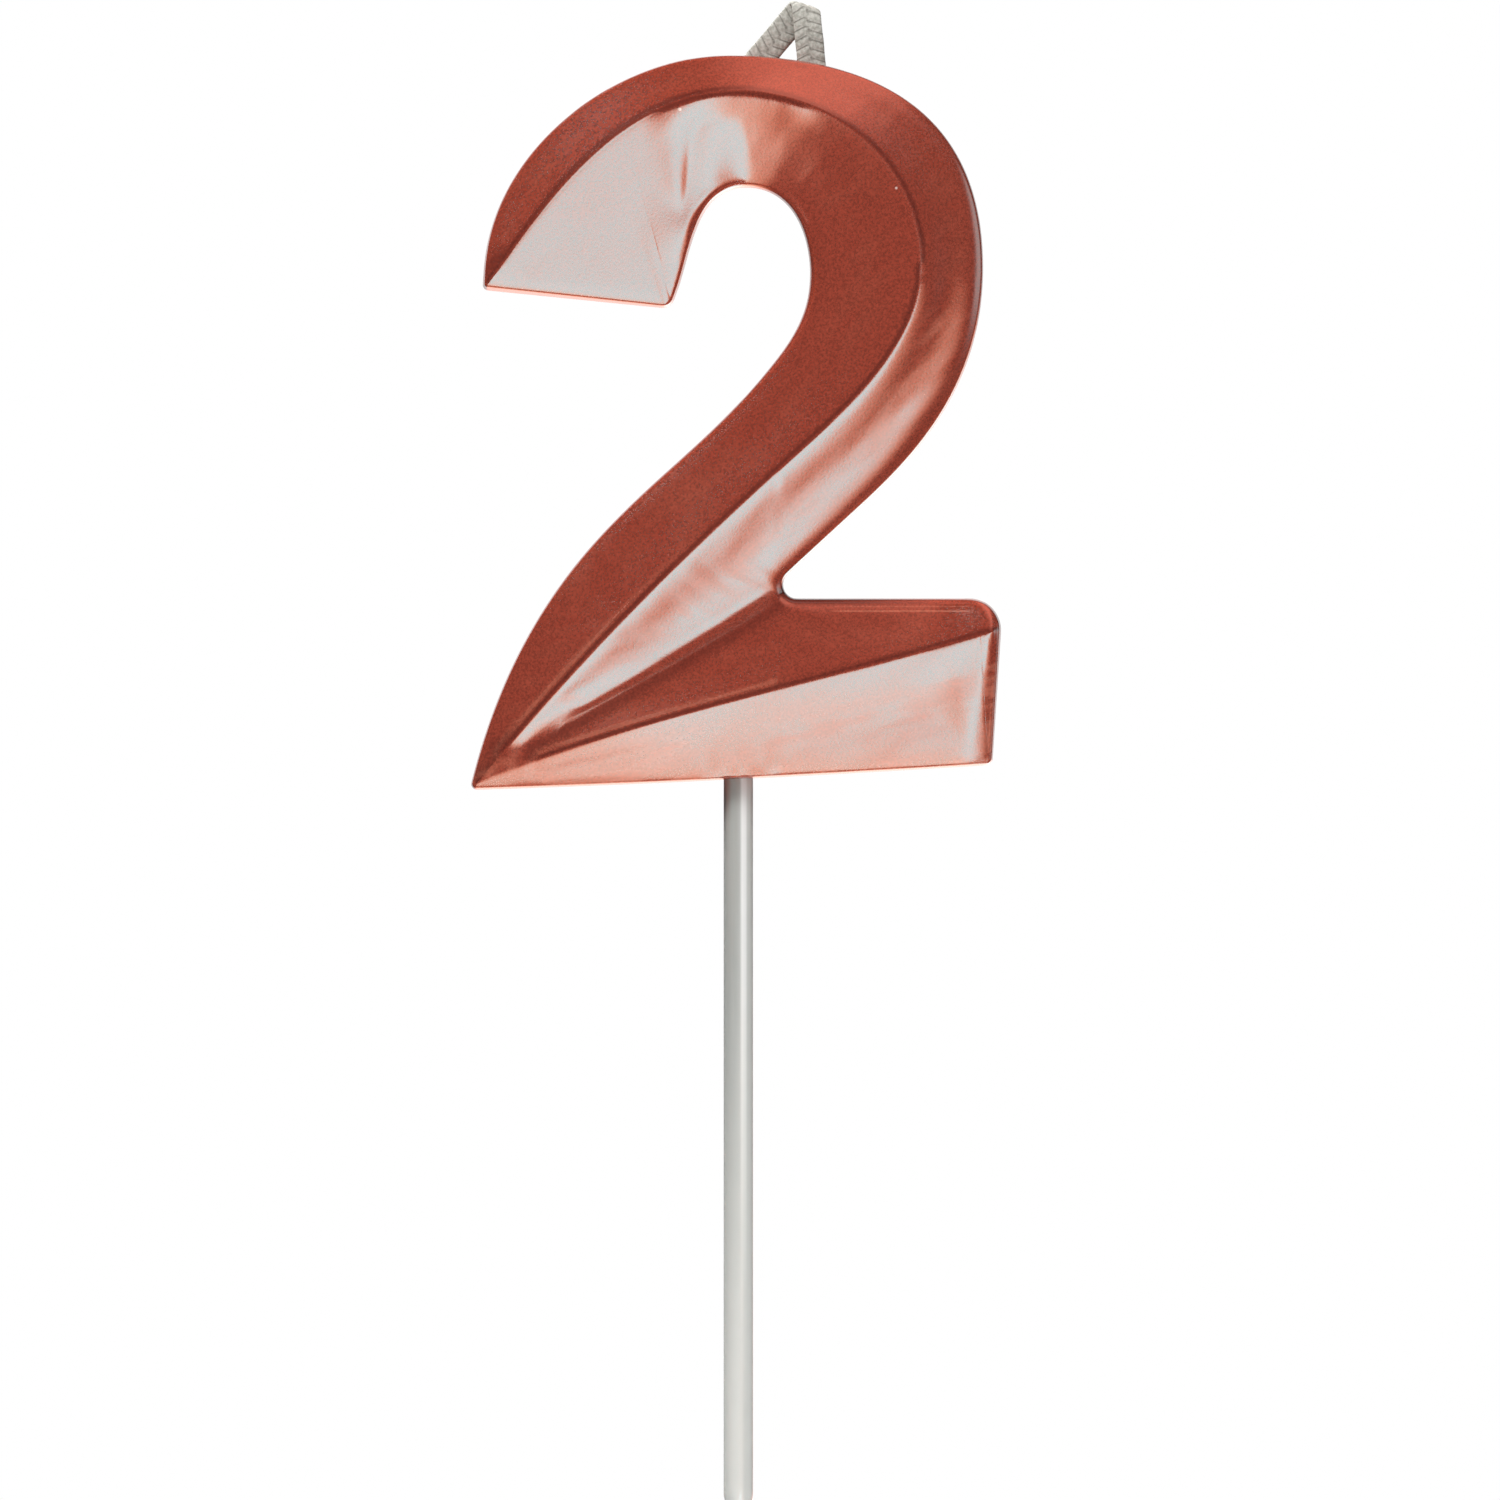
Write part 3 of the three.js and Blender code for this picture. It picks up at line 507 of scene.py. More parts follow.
# %% The crests, the valley and the outline
LINE_STEP = 0.1 * MM
CREST_TURN = math.radians(13)
VALLEY_TURN = math.radians(9)
CREST_LOW = 3.7 * MM
FACET_LOW = 2.9 * MM
VALLEY_END = 16 * MM
VALLEY_FOOT = Vector((-24.0 * MM, 20.9 * MM))


def points_along(edge):
    """Points on an edge, a small step apart, in the front view."""
    a, b = (vert.co for vert in edge.verts)
    count = max(1, round((b - a).length / LINE_STEP))
    return [Vector((p.x, p.z)) for p in (a.lerp(b, i / count) for i in range(count + 1))]


def tree_of_points(points):
    tree = KDTree(len(points))
    for i, point in enumerate(points):
        tree.insert((point.x, point.y, 0), i)
    tree.balance()
    return tree


figure.normal_update()
crest_points = []
valley_points = []
for edge in figure.edges:
    if len(edge.link_faces) != 2:
        continue
    normals = [face.normal for face in edge.link_faces]
    turn = edge.calc_face_angle_signed(0)
    opposed = normals[0].x * normals[1].x + normals[0].z * normals[1].z < 0
    between_facets = min(abs(n.y) for n in normals) > 0.7 and opposed
    height = max(abs(vert.co.y) for vert in edge.verts)
    right_end = max(vert.co.x for vert in edge.verts)
    if between_facets and height > CREST_LOW and turn > CREST_TURN:
        crest_points += points_along(edge)
    elif between_facets and height > FACET_LOW and turn < -VALLEY_TURN and right_end < VALLEY_END:
        valley_points += points_along(edge)
lowest = min(valley_points, key=lambda p: p.x)
steps = 1 + round((lowest - VALLEY_FOOT).length / LINE_STEP)
valley_points += [lowest.lerp(VALLEY_FOOT, i / steps) for i in range(1, steps + 1)]
crests = tree_of_points(crest_points)
valleys = tree_of_points(valley_points)
print("points on crests and valleys:", len(crest_points), len(valley_points))
print("the valley's lowest point in mm:", [round(v / MM, 2) for v in lowest])

# %% [markdown]
# Two levels of subdivision give the surface its fine, round edges. After that the figure is a dense mesh.

# %% The figure's surface
figure_mesh = bpy.data.meshes.new("copper_numeral")
figure.to_mesh(figure_mesh)
figure.free()
numeral = bpy.data.objects.new("copper_numeral", figure_mesh)
bpy.context.scene.collection.objects.link(numeral)
rounding = numeral.modifiers.new("rounding", "SUBSURF")
rounding.levels = rounding.render_levels = 2


def apply_modifiers(piece):
    """Writes a piece's modifiers into its mesh."""
    bpy.context.view_layer.update()
    graph = bpy.context.evaluated_depsgraph_get()
    made = bpy.data.meshes.new_from_object(piece.evaluated_get(graph), depsgraph=graph)
    piece.modifiers.clear()
    old = piece.data
    piece.data = made
    bpy.data.meshes.remove(old)
    made.name = piece.name


apply_modifiers(numeral)
print("figure:", len(numeral.data.polygons), "faces")

# %% [markdown]
# Wax shrinks as it sets, so no facet comes out of the mould quite flat: it swells a little beside the
# crest, sinks in the middle and swells again before its edge. The depth is a few hundredths of a
# millimetre, which only the reflections show. Ripples run along the strokes, the outline's edge is rolled,
# a fillet fills the valley, the diagonal's lower facet leans over a little towards its edge, and the bar's
# end has slumped at its lower right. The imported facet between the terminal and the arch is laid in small
# steps, so it is drawn here onto one straight ramp from the crest down to the bowl's lip.

# %% Sink marks and soft edges
SINK_SLOPE = math.radians(3.2)
SINK_CREST_SHARE = 0.3
SINK_PERIOD = 0.7
SINK_EDGE_FADE = 0.8 * MM
SINK_BAR_FADE = 6 * MM
ROLL_DEPTH = 0.15 * MM
ROLL_WIDTH = 1.5 * MM
RIPPLE_DEPTH = 0.032 * MM
RIPPLE_DEPTH_BAR = 0.05 * MM
RIPPLE_LENGTH = 6 * MM
RIPPLE_WIDTH = 1.6 * MM
RIPPLE_CREST_FADE = 1.2 * MM
RIPPLE_EDGE_FADE = 1.5 * MM
DIAGONAL_ANGLE = math.radians(46)
BAR_ANGLE = math.radians(15)
ONTO_BAR = (42 * MM, 34 * MM)
SLUMP_SLOPE = 0.30
SLUMP_POWER = 1.7
FILLET_DEPTH = 0.25 * MM
FILLET_WIDTH = 1.5 * MM
FILLET_FROM = (-21 * MM, -16 * MM)
LEAN = 0.14
LEAN_SHARE = 0.4
LEAN_LOW = (42 * MM, 54 * MM)
LEAN_HIGH = (70 * MM, 60 * MM)
DIAGONAL_LEFT = 4 * MM
SLUMP_WIDTH = (0.6 * MM, 2.6 * MM)
BAR_TOP = 38.5 * MM
BAR_BOTTOM = 21.5 * MM
BAR_END = 26.4 * MM
BAR_END_LEAN = 0.066
BAR_RIGHT = 15 * MM
TERMINAL_LOW = 71 * MM
TERMINAL_RIGHT = 6 * MM
TERMINAL_EVEN = (-1.5 * MM, 4.5 * MM)
TERMINAL_MARGIN = 5 * MM
TERMINAL_ROLL_SHARE = 0.4
CREST_HEIGHT = 5.96 * MM
EDGE_HEIGHT = 3.3 * MM
LIP_RISE = 0.8 * MM
LIP_FADE = (1.5 * MM, -3.5 * MM)
PACKED_LIP_RISE = 0.65 * MM
PACKED_LIP_FADE = (82 * MM, 76 * MM)
RAMP_LEFT = (-10 * MM, -5 * MM)
RAMP_RIGHT = (9 * MM, 5 * MM)
RAMP_LOW = (72 * MM, 77 * MM)
RAMP_CREST = (0.1 * MM, 0.5 * MM)
RAMP_WALL = (0.4 * MM, 1.2 * MM)
SLIVER = 0.07 * MM
BOWL_MIDDLE = Vector((2.0 * MM, 70.0 * MM))


def even(value, low, high):
    """0 at low, 1 at high and even between. With low above high it falls instead."""
    return min(1.0, max(0.0, (value - low) / (high - low)))


def smooth(value, low, high):
    """The same, and smooth between."""
    share = even(value, low, high)
    return share * share * (3 - 2 * share)


def distance_to(tree, point):
    return tree.find((point.x, point.z, 0))[2]


def stroke_place(point):
    """A place along and beside the stroke, in ripples: steep on the diagonal, nearly level on the bar."""
    on_bar = even(point.z, *ONTO_BAR)
    angle = DIAGONAL_ANGLE * (1 - on_bar) + BAR_ANGLE * on_bar
    along = point.x * math.cos(angle) + point.z * math.sin(angle)
    beside = point.z * math.cos(angle) - point.x * math.sin(angle)
    return Vector((along / RIPPLE_LENGTH, beside / RIPPLE_WIDTH, 3.7))


def in_terminal(point, faces_up):
    return point.z > TERMINAL_LOW - TERMINAL_MARGIN and point.x < TERMINAL_RIGHT and not faces_up


def height_change(point, faces_up):
    """How far a point moves out on the facet and at its edge, and its share of the way from crest to edge."""
    from_crest = distance_to(crests, point)
    from_edge = min(distance_to(outline, point), distance_to(valleys, point))
    width = from_crest + from_edge
    share = from_crest / width
    wave = math.sin(math.pi * (share - SINK_CREST_SHARE) / (SINK_PERIOD / 2))
    sink = -SINK_SLOPE * width * (SINK_PERIOD / 2 / math.pi) * wave
    calm = even(from_crest, 0, RIPPLE_CREST_FADE) * even(from_edge, 0, RIPPLE_EDGE_FADE)
    place = stroke_place(point)
    on_bar = even(point.z, *ONTO_BAR)
    depth = RIPPLE_DEPTH * (1 - on_bar) + RIPPLE_DEPTH_BAR * on_bar
    waves = depth * (noise.noise(place) + 0.3 * noise.noise(2.3 * place)) * calm
    lean = 0.0
    if point.x > DIAGONAL_LEFT and point.z < TERMINAL_LOW and not faces_up:
        high = smooth(point.z, *LEAN_LOW)
        sink *= 1 + high
        lean = -LEAN * high * smooth(point.z, *LEAN_HIGH) * width * max(0.0, share - LEAN_SHARE) ** 2
    if point.x > BAR_RIGHT and point.z < BAR_TOP:
        sink *= smooth(BAR_END - point.x, 0.0, SINK_BAR_FADE)
    roll = -ROLL_DEPTH * even(distance_to(outline, point), ROLL_WIDTH, 0) ** 2
    if in_terminal(point, faces_up):
        sink *= even(point.x, *TERMINAL_EVEN)
        waves *= even(point.x, *TERMINAL_EVEN)
        roll *= TERMINAL_ROLL_SHARE
    slump = 0.0
    if point.x > BAR_RIGHT and BAR_BOTTOM - 2 * MM < point.z < BAR_TOP:
        low = even(point.z, BAR_TOP - 3 * MM, BAR_BOTTOM)
        reach = SLUMP_WIDTH[0] * (1 - low) + SLUMP_WIDTH[1] * low
        from_end = max(0.0, BAR_END - (point.x + (BAR_TOP - point.z) * BAR_END_LEAN))
        slump = -SLUMP_SLOPE * reach / SLUMP_POWER * even(from_end, reach, 0) ** SLUMP_POWER
    fillet = FILLET_DEPTH * even(distance_to(valleys, point), FILLET_WIDTH, 0) ** 2
    fillet *= even(point.x, *FILLET_FROM)
    return sink * even(from_edge, 0, SINK_EDGE_FADE) + waves + fillet, roll + slump + lean, share


def lip_height(point):
    """The height of the facet at the bowl's wall. It falls from the lip into the bowl."""
    return EDGE_HEIGHT + LIP_RISE * smooth(point.x, *LIP_FADE)


def ruled_height(point):
    """The height of a straight ramp from the crest down to the bowl's wall."""
    from_crest = distance_to(crests, point)
    share = from_crest / (from_crest + distance_to(outline, point))
    return CREST_HEIGHT + (lip_height(point) - CREST_HEIGHT) * share


def even_out(verts):
    """Lays the facet between the terminal and the arch onto one smooth ramp, and lifts its edge with it."""
    worst = 0.0
    for vert in verts:
        spot = vert.co
        share = smooth(spot.x, *RAMP_LEFT) * smooth(spot.x, *RAMP_RIGHT) * smooth(spot.z, *RAMP_LOW)
        share *= smooth(distance_to(crests, spot), *RAMP_CREST)
        inner = smooth(distance_to(outline, spot), *RAMP_WALL)
        lift = lip_height(spot) - EDGE_HEIGHT - PACKED_LIP_RISE * smooth(spot.z, *PACKED_LIP_FADE)
        lift *= even(abs(spot.y), 0, EDGE_HEIGHT)
        move = inner * (ruled_height(spot) - abs(spot.y)) + (1 - inner) * lift
        worst = max(worst, abs(move * share))
        spot.y += math.copysign(share * move, spot.y)
    print("the facet moved by at most", round(worst / MM, 3), "mm")


surface = bmesh.new()
surface.from_mesh(numeral.data)
outline_points = []
for edge in surface.edges:
    if max(abs(vert.co.y) for vert in edge.verts) < 0.05 * MM:
        outline_points += points_along(edge)
outline = tree_of_points(outline_points)
print("points on the outline:", len(outline_points))


def inside_crest(point):
    """Whether a point of the arch lies on the bowl's side of the crest."""
    nearest = crests.find((point.x, point.z, 0))[0]
    return (BOWL_MIDDLE - Vector((point.x, point.z))).length < (BOWL_MIDDLE - Vector(nearest[:2])).length


def bowl_side(side):
    """The points on the bowl's side of the crest, on one side of the figure, down its wall as well."""
    return [
        vert
        for vert in surface.verts
        if RAMP_LEFT[0] < vert.co.x < RAMP_RIGHT[0] and vert.co.z > TERMINAL_LOW and vert.co.y * side > 0
        and distance_to(crests, vert.co) > RAMP_CREST[0] and inside_crest(vert.co)
    ]


for side in (-1, 1):
    even_out(bowl_side(side))
    bmesh.ops.remove_doubles(surface, verts=bowl_side(side), dist=SLIVER)
surface.normal_update()

# %% [markdown]
# Every point then takes its change of height, the flat part of a facet in full and its edge in proportion
# to its distance from the mid-plane. The same pass writes the values that the lacquer reads. Rubbed streaks,
# rougher and painted warmer as painted reflection, lie in the middle of the facets, more on those that face
# down, and along the lower edge of the foot. Painted shade darkens the hollows beside the crests and the
# valley on the facets that face up, and under the bar's top edge. The glint, a painted highlight, runs
# beside the lower part of the long crest.

# %% The relief and the values for the lacquer
FOOT_TOP = 42 * MM
UNDER_EDGE = (3 * MM, 20 * MM)
UNDER_EDGE_FADE = 8 * MM
UNDER_EDGE_WIDTH = 0.9 * MM
WARM_FOOT = (40 * MM, -20 * MM)
WARM_EDGE_WIDTH = 1.8 * MM
GLINT_FADE = (46 * MM, 34 * MM)
FACET_NORMAL = 0.6


def bell(distance, centre, width):
    """1 at the centre, and a soft fall to both sides."""
    return math.exp(-(((distance - centre) / width) ** 2))


rub_and_sheen_layer = surface.verts.layers.float.new("rub_and_sheen")
shade_layer = surface.verts.layers.float.new("shade")
glint_layer = surface.verts.layers.float.new("glint")
stroke_layer = surface.verts.layers.float_vector.new("stroke")
for vert in surface.verts:
    vert[stroke_layer] = stroke_place(vert.co)
    side = 1 if vert.co.y > 0 else -1
    faces_up = vert.normal.z > 0
    facet_change, edge_change, share = height_change(vert.co, faces_up)
    vert.co.y += side * edge_change * min(1.0, abs(vert.co.y) / FACET_LOW)
    in_crotch = vert.co.z < FOOT_TOP and UNDER_EDGE[0] < vert.co.x < UNDER_EDGE[1]
    # Painted shade under the bar's top edge, near the crotch.
    if in_crotch and faces_up and abs(vert.co.y) > 1.5 * MM:
        under_edge = max(0.0, 1 - (distance_to(outline, vert.co) / UNDER_EDGE_WIDTH) ** 2)
        vert[shade_layer] = under_edge * min(1.0, (UNDER_EDGE[1] - vert.co.x) / UNDER_EDGE_FADE)
    if abs(vert.co.y) < FACET_LOW - ROLL_DEPTH or abs(vert.normal.y) < FACET_NORMAL:
        continue
    vert.co.y += side * facet_change
    in_bowl = vert.co.z > TERMINAL_LOW - 3 * MM
    # Rubbed streaks, rougher and painted warmer as painted reflection, most on the facets that face down.
    vert[rub_and_sheen_layer] = (0.1 if faces_up or in_bowl else 0.7) * max(0.0, 1 - abs(share - 0.5) / 0.4)
    if faces_up:
        from_crest = distance_to(crests, vert.co)
        # Painted shade beside the crests and the valley, on the facets that face up.
        beside_crest = bell(from_crest, 0.28 * MM, 0.22 * MM)
        in_valley = bell(distance_to(valleys, vert.co), 0.9 * MM, 0.8 * MM)
        vert[shade_layer] = max(vert[shade_layer], 0.8 * beside_crest, 0.55 * in_valley)
        # Painted highlight: the glint line beside the lower part of the long crest.
        low = even(vert.co.z, *GLINT_FADE) if vert.co.x < DIAGONAL_LEFT else 0.0
        vert[glint_layer] = 0.7 * low * bell(from_crest, 0.8 * MM, 0.25 * MM)
    elif vert.co.z < WARM_FOOT[0] and vert.co.x > WARM_FOOT[1]:
        # Along the foot's lower edge the streaks grow: rougher lacquer, and warmer pigment as painted
        # reflection.
        edge_warmth = 0.9 * bell(distance_to(outline, vert.co), 0, WARM_EDGE_WIDTH)
        vert[rub_and_sheen_layer] = max(vert[rub_and_sheen_layer], edge_warmth)
surface.to_mesh(numeral.data)
surface.free()
print("the lacquer's values are on", len(numeral.data.vertices), "points")

# %% [markdown]
# The pick is a clear plastic pin, turned about its own axis. It is a profile that is spun full circle: a
# flat top with a small chamfer, a straight shank, and a long taper to a round point.

# %% The pick
pick_low, pick_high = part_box("pick")
PICK_RADIUS = pick_high.x
POINT_LENGTH = 7 * MM
POINT_RADIUS = 0.3 * MM
TOP_CHAMFER = 0.4 * MM
SPIN_STEPS = 48


def spun(name, profile):
    """A closed piece turned about the Z axis from a profile of (radius, height) points."""
    shape = bmesh.new()
    points = [shape.verts.new((x, 0, z)) for x, z in profile]
    lines = [shape.edges.new(pair) for pair in zip(points, points[1:])]
    bmesh.ops.spin(
        shape,
        geom=points + lines,
        cent=(0, 0, 0),
        axis=(0, 0, 1),
        angle=2 * math.pi,
        steps=SPIN_STEPS,
        use_merge=True,
    )
    bmesh.ops.remove_doubles(shape, verts=shape.verts, dist=0.001 * MM)
    bmesh.ops.recalc_face_normals(shape, faces=shape.faces)
    mesh = bpy.data.meshes.new(name)
    shape.to_mesh(mesh)
    shape.free()
    piece = bpy.data.objects.new(name, mesh)
    bpy.context.scene.collection.objects.link(piece)
    return piece


tip = [
    (POINT_RADIUS * math.sin(math.radians(a)), pick_low.z + POINT_RADIUS * (1 - math.cos(math.radians(a))))
    for a in (0, 30, 60, 84)
]
shank = [(PICK_RADIUS, pick_low.z + POINT_LENGTH + rise) for rise in (0, 0.5 * MM, 20 * MM, 50 * MM)]
top = [
    (PICK_RADIUS, pick_high.z - TOP_CHAMFER),
    (PICK_RADIUS - 0.12 * MM, pick_high.z - 0.12 * MM),
    (PICK_RADIUS - TOP_CHAMFER, pick_high.z),
    (0, pick_high.z),
]
pick = spun("clear_pick", tip + shank + top)
pick.data.shade_smooth()

# %% [markdown]
# The numeral can be pulled off its pick, so its socket has to be there. The faces round its mouth are
# replaced by a ring that joins a circle, and the circle is drawn up into the wax and closed. On the real
# candle the socket is moulded round a steel pin.

# %% The socket in the figure
SOCKET_GAP = 0.03 * MM
SOCKET_ROOM = 0.1 * MM
MOUTH_MARGIN = 0.5 * MM
SOCKET_SIDES = 48


def turned(faces, wanted):
    """Turns over the faces that don't face the wanted way."""
    for face in faces:
        face.normal_update()
        if face.normal.dot(wanted(face.calc_center_median())) < 0:
            face.normal_flip()


surface = bmesh.new()
surface.from_mesh(numeral.data)
skin = BVHTree.FromBMesh(surface)
radius = PICK_RADIUS + SOCKET_GAP
circle = []
for k in range(SOCKET_SIDES):
    angle = 2 * math.pi * k / SOCKET_SIDES
    foot = Vector((radius * math.cos(angle), radius * math.sin(angle), 0))
    circle.append(surface.verts.new(skin.ray_cast(foot, Vector((0, 0, 1)))[0]))
rim = [surface.edges.new((circle[k - 1], circle[k])) for k in range(SOCKET_SIDES)]
mouth = [
    face
    for face in surface.faces
    if face.normal.z < -0.5 and face.calc_center_median().z < 25 * MM
    and face.calc_center_median().xy.length < radius + MOUTH_MARGIN
]
bmesh.ops.delete(surface, geom=mouth, context="FACES")
border = [edge for edge in surface.edges if edge.is_boundary]
collar = bmesh.ops.bridge_loops(surface, edges=border + rim)["faces"]
turned(collar, lambda middle: Vector((0, 0, -1)))
walls = bmesh.ops.extrude_edge_only(surface, edges=rim)["geom"]
for vert in walls:
    if isinstance(vert, bmesh.types.BMVert):
        vert.co.z = pick_high.z + SOCKET_ROOM
turned(
    [face for face in walls if isinstance(face, bmesh.types.BMFace)],
    lambda middle: Vector((-middle.x, -middle.y, 0)),
)
top_rim = [edge for edge in surface.edges if edge.is_boundary]
lid = bmesh.ops.holes_fill(surface, edges=top_rim, sides=0)["faces"]
turned(lid, lambda middle: Vector((0, 0, -1)))
print("socket:", len(mouth), "faces out,", len(collar), "in the collar,", len(lid), "lid")
surface.to_mesh(numeral.data)
surface.free()
numeral.data.materials.clear()
numeral.data.materials.append(copper_lacquer())
numeral.data.shade_smooth()
numeral.data.set_sharp_from_angle(angle=math.radians(60))
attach(numeral, "candle")
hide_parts("wax_numeral")
print("figure with its socket:", len(numeral.data.polygons), "faces")


# %% [markdown]
# The pick's plastic is cheap and cloudy: it scatters light inside and lets little through. Its right side
# is painted paler, as painted light where it catches more light, and one painted highlight runs along it as
# a bright line. Further down it is lighter all round. Flow lines from the mould run along it. Places across
# the pick are in mm from its axis.

# %% The clear plastic
PLASTIC_TINTS = ((0.40, 0.415, 0.395, 1), (0.48, 0.495, 0.475, 1))
PALE_TINT = (0.74, 0.75, 0.72, 1)
# The colour of the painted highlight line.
HIGHLIGHT_TINT = (0.97, 0.98, 0.95, 1)
LIT_SIDE_FROM = (-0.4, 0.9)
LIT_SIDE_SHARE = 0.6
PALE_BELOW = (15 * MM, -50 * MM)
HIGHLIGHT_PLACE = 0.55
HIGHLIGHT_WIDTH = 0.45


def clear_plastic():
    material = bpy.data.materials.new("clear_plastic")
    material.use_nodes = True
    tree = material.node_tree
    tree.nodes.clear()
    where = add_node(tree, "ShaderNodeTexCoord").outputs["Object"]
    drawn_out = add_node(tree, "ShaderNodeMapping", {"Vector": where, "Scale": (1.0, 1.0, 0.06)})
    streak = drawn_out.outputs["Vector"]
    flow = noise_node(tree, streak, 1800.0, 3.0)
    place = add_node(tree, "ShaderNodeSeparateXYZ", {0: where})
    tint = blend_colours(tree, flow, *PLASTIC_TINTS)
    # Painted light: the right side is painted paler, where it catches more light.
    lit_side = step_node(tree, place.outputs["X"], *(v * MM for v in LIT_SIDE_FROM))
    tint = blend_colours(tree, math_node(tree, "MULTIPLY", lit_side, LIT_SIDE_SHARE), tint, PALE_TINT)
    # Painted highlight: one bright line a little right of the axis.
    away = math_node(tree, "ABSOLUTE", math_node(tree, "SUBTRACT", place.outputs["X"], HIGHLIGHT_PLACE * MM))
    highlight_line = step_node(tree, away, HIGHLIGHT_WIDTH * MM, 0.3 * HIGHLIGHT_WIDTH * MM)
    tint = blend_colours(tree, highlight_line, tint, HIGHLIGHT_TINT)
    tint = blend_colours(tree, step_node(tree, place.outputs["Z"], *PALE_BELOW), tint, PALE_TINT)
    rough = math_node(tree, "MULTIPLY_ADD", flow, 0.10, 0.16)
    bump = add_node(tree, "ShaderNodeBump", {"Height": flow, "Strength": 0.15, "Distance": 0.02 * MM})
    shader = add_node(
        tree,
        "ShaderNodeBsdfPrincipled",
        {
            "Base Color": tint,
            "Roughness": rough,
            "Normal": bump.outputs["Normal"],
            "IOR": 1.59,
            "Specular IOR Level": 1.0,
            "Transmission Weight": 0.25,
            "Subsurface Weight": 0.7,
            "Subsurface Radius": (1.0, 1.0, 1.0),
            "Subsurface Scale": 1.2 * MM,
        },
    )
    add_node(tree, "ShaderNodeOutputMaterial", {"Surface": shader.outputs[0]})
    return material


pick.data.materials.append(clear_plastic())
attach(pick, "pick")
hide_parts("pick")

# %% [markdown]
# The wick is a flat braid that was dipped in wax. Both of its faces show two columns of slanted stitches
# that meet in the middle like a chevron, and its edges are scalloped where the yarns turn back. The
# ribbon is laid out straight first, with a length, a width and a depth, and then every point goes through
# one fold: below the crease the ribbon stands in front, then it wraps half round a thin roll, and beyond
# that it hangs down behind.

# %% The fold of the wick
WICK_EXIT = Vector((7.44 * MM, 93.19 * MM))
WICK_HEADING = math.radians(95.6)
CREASE_HEADING = math.radians(-17.3)
CREASE = Vector((6.875 * MM, 99.17 * MM))
CREASE_TOP_HALF = 0.4 * MM
STEM_DEPTH = 0.0
TAIL_DEPTH = 1.1 * MM
ROLL_RADIUS = (TAIL_DEPTH - STEM_DEPTH) / 2
STEM_LENGTH = 6.0 * MM
HIDDEN_LENGTH = 3.0 * MM
TAIL_LENGTH = 8.0 * MM


def heading(angle):
    return Vector((math.cos(angle), math.sin(angle)))


ALONG = heading(WICK_HEADING)
ACROSS = heading(WICK_HEADING - math.pi / 2)
FOLD_LINE = heading(CREASE_HEADING)
FOLD_UP = heading(CREASE_HEADING + math.pi / 2)


def folded(length, width, depth):
    """Where a point of the straight plait goes. Length counts from the wax, depth towards the front."""
    flat = ALONG * (length - STEM_LENGTH) + ACROSS * width
    beside = flat.dot(FOLD_LINE)
    above = flat.dot(FOLD_UP)
    roll_centre = -CREASE_TOP_HALF - ROLL_RADIUS
    turn = min(math.pi, max(0.0, (above - roll_centre) / ROLL_RADIUS))
    rise = min(above, roll_centre)
    rise += max(0.0, ROLL_RADIUS + depth) * math.sin(turn)
    rise -= max(0.0, above - roll_centre - math.pi * ROLL_RADIUS)
    back = STEM_DEPTH + ROLL_RADIUS - (ROLL_RADIUS + depth) * math.cos(turn)
    spot = CREASE + FOLD_LINE * beside + FOLD_UP * rise
    return Vector((spot.x, back, spot.y))


# %% [markdown]
# The ribbon is drawn up ring by ring. Each ring is a flat oval whose points rise and fall with the
# stitches, and every yarn is twisted from a few plies. The cotton isn't quite regular, so each point
# wanders a little. The seed keeps that wander the same in every run.

# %% The braided ribbon
HALF_WIDTH = 1.40 * MM
HALF_THICKNESS = 0.33 * MM
STITCH_PITCH = 0.95 * MM
STITCH_SLANT = 0.62
STITCH_RELIEF = 0.13 * MM
SCALLOP = 0.13 * MM
YARN_PLIES = 4
WANDER = 0.045 * MM
WANDER_SCALE = 700
WANDER_SEED = 7
RING_STEP = 0.07 * MM
RING_SIDES = 64


def stitch_height(length, width):
    """Height of the stitches, from 0 in the grooves to 1 on top of a yarn."""
    beside = abs(width) / HALF_WIDTH
    column = 0.5 if width > 0 else 0.0
    along = length / STITCH_PITCH + column + STITCH_SLANT * beside
    crown = abs(math.sin(math.pi * along))
    seam = min(1.0, beside / 0.16)
    ply = 0.5 + 0.5 * math.cos(2 * math.pi * YARN_PLIES * (beside * 0.8 - 0.35 * (along % 1.0)))
    return crown**0.6 * (0.55 + 0.45 * seam) * (0.86 + 0.14 * ply)


def ribbon_ring(length):
    """The points of the ribbon at a length from the wax, each with the height of its stitch."""
    ring = []
    for k in range(RING_SIDES):
        turn = 2 * math.pi * k / RING_SIDES
        across, thick = math.cos(turn), math.sin(turn)
        width = math.copysign(abs(across) ** 0.62, across) * HALF_WIDTH
        depth = math.copysign(abs(thick) ** 0.75, thick) * HALF_THICKNESS
        height = stitch_height(length + (0.5 * STITCH_PITCH if thick < 0 else 0.0), width)
        depth += math.copysign(STITCH_RELIEF * (height - 0.5), thick) * abs(thick) ** 0.5
        width += math.copysign(SCALLOP * (height - 0.5), across) * abs(across) ** 6
        wander = noise.noise_vector(Vector((width, depth, length)) * WANDER_SCALE) * WANDER
        ring.append((folded(length + wander.z, width + wander.x, depth + wander.y), height))
    return ring


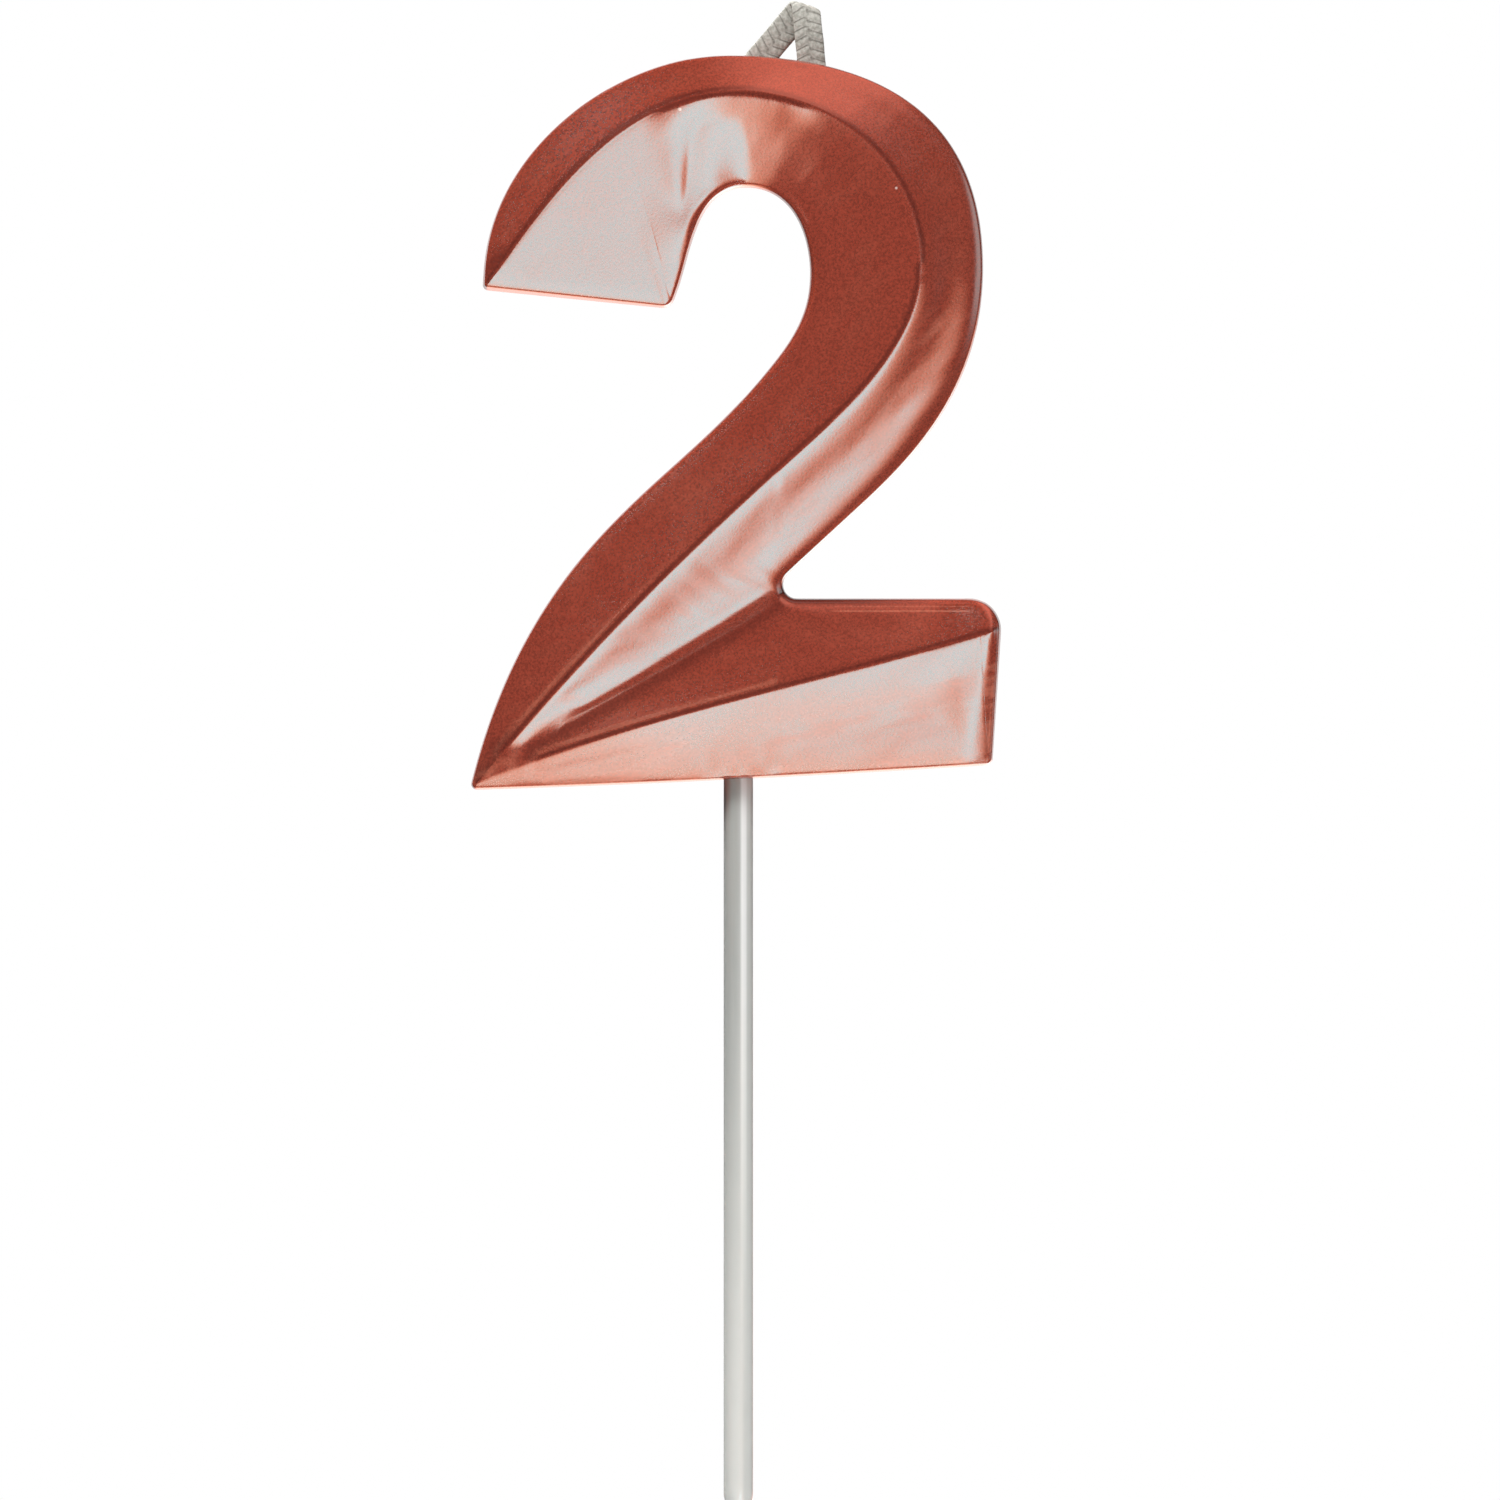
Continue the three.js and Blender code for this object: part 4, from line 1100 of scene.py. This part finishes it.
noise.seed_set(WANDER_SEED)
ribbon = bmesh.new()
crown_layer = ribbon.verts.layers.float.new("crown")
bmesh.ops.create_circle(ribbon, cap_ends=True, segments=RING_SIDES, radius=MM)
ring_verts = list(ribbon.verts)
ring_edges = list(ribbon.edges)
total_length = HIDDEN_LENGTH + STEM_LENGTH + TAIL_LENGTH
ring_count = round(total_length / RING_STEP)
for i in range(ring_count + 1):
    if i > 0:
        made = bmesh.ops.extrude_edge_only(ribbon, edges=ring_edges)["geom"]
        ring_verts = [item for item in made if isinstance(item, bmesh.types.BMVert)]
        ring_edges = [item for item in made if isinstance(item, bmesh.types.BMEdge) and item.is_boundary]
    for vert, (spot, height) in zip(ring_verts, ribbon_ring(total_length * i / ring_count - HIDDEN_LENGTH)):
        vert.co = spot
        vert[crown_layer] = height
bmesh.ops.holes_fill(ribbon, edges=ring_edges, sides=0)

# %% [markdown]
# The free end was cut to the slope of the arch and rests on the wax. A plane cuts the part of the ribbon
# that hangs behind.

# %% The cut end
TAIL_CLEARANCE = 0.03 * MM
TAIL_FEET = (1.0 * MM, 4.7 * MM)

wax_top = tree_of("wax_numeral")
feet = [wax_top.ray_cast(Vector((x, TAIL_DEPTH, 0.2)), Vector((0, 0, -1)))[0] for x in TAIL_FEET]
rest_line = feet[1] - feet[0]
rest_normal = Vector((rest_line.z, 0, -rest_line.x)).normalized()
print("the wick's end rests at", [round(foot.z / MM, 2) for foot in feet])

behind_verts = [vert for vert in ribbon.verts if vert.co.y > 0.5 * TAIL_DEPTH]
hanging = set(behind_verts)
behind_edges = [edge for edge in ribbon.edges if hanging.issuperset(edge.verts)]
behind_faces = [face for face in ribbon.faces if hanging.issuperset(face.verts)]
bmesh.ops.bisect_plane(
    ribbon,
    geom=behind_verts + behind_edges + behind_faces,
    plane_co=feet[0] - rest_normal * TAIL_CLEARANCE,
    plane_no=rest_normal,
    clear_outer=True,
)
bmesh.ops.holes_fill(ribbon, edges=[edge for edge in ribbon.edges if edge.is_boundary], sides=0)
bmesh.ops.recalc_face_normals(ribbon, faces=ribbon.faces)
wick_mesh = bpy.data.meshes.new("braided_wick")
ribbon.to_mesh(wick_mesh)
ribbon.free()
wick = bpy.data.objects.new("braided_wick", wick_mesh)
bpy.context.scene.collection.objects.link(wick)
wick_mesh.shade_smooth()


# %% [markdown]
# The cotton is a warm grey white, uneven where the dip of wax soaked in. The grooves between the stitches
# are darkened with painted shade, and the waxed patches are smoother. "crown" is the height of the stitch at
# each point.

# %% The waxed cotton
DULL_COTTON = (0.34, 0.335, 0.295, 1)
PALE_COTTON = (0.50, 0.49, 0.445, 1)
GROOVE_SHADE = (0.19, 0.18, 0.16, 1)


def waxed_cotton():
    material = bpy.data.materials.new("waxed_cotton")
    material.use_nodes = True
    tree = material.node_tree
    tree.nodes.clear()
    where = add_node(tree, "ShaderNodeTexCoord").outputs["Object"]
    blotch = noise_node(tree, where, 2600.0, 4.0)
    fibre = noise_node(tree, where, 9000.0, 2.0)
    cotton = blend_colours(tree, step_node(tree, blotch, 0.35, 0.65), DULL_COTTON, PALE_COTTON)
    crown = add_node(tree, "ShaderNodeAttribute", attribute_name="crown").outputs["Fac"]
    # Painted shade in the grooves between the stitches.
    cotton = blend_colours(tree, step_node(tree, crown, 0.1, 0.6), GROOVE_SHADE, cotton)
    waxed = math_node(tree, "MULTIPLY", step_node(tree, blotch, 0.5, 0.7), 0.4)
    rough = math_node(tree, "SUBTRACT", 0.75, waxed)
    bump = add_node(tree, "ShaderNodeBump", {"Height": fibre, "Strength": 0.35, "Distance": 0.02 * MM})
    shader = add_node(
        tree,
        "ShaderNodeBsdfPrincipled",
        {"Base Color": cotton, "Roughness": rough, "Normal": bump.outputs["Normal"]},
    )
    add_node(tree, "ShaderNodeOutputMaterial", {"Surface": shader.outputs[0]})
    return material


wick_mesh.materials.append(waxed_cotton())
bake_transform(wick)
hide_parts("wick_stem", "wick_tail")
print("wick:", len(wick_mesh.polygons), "faces")
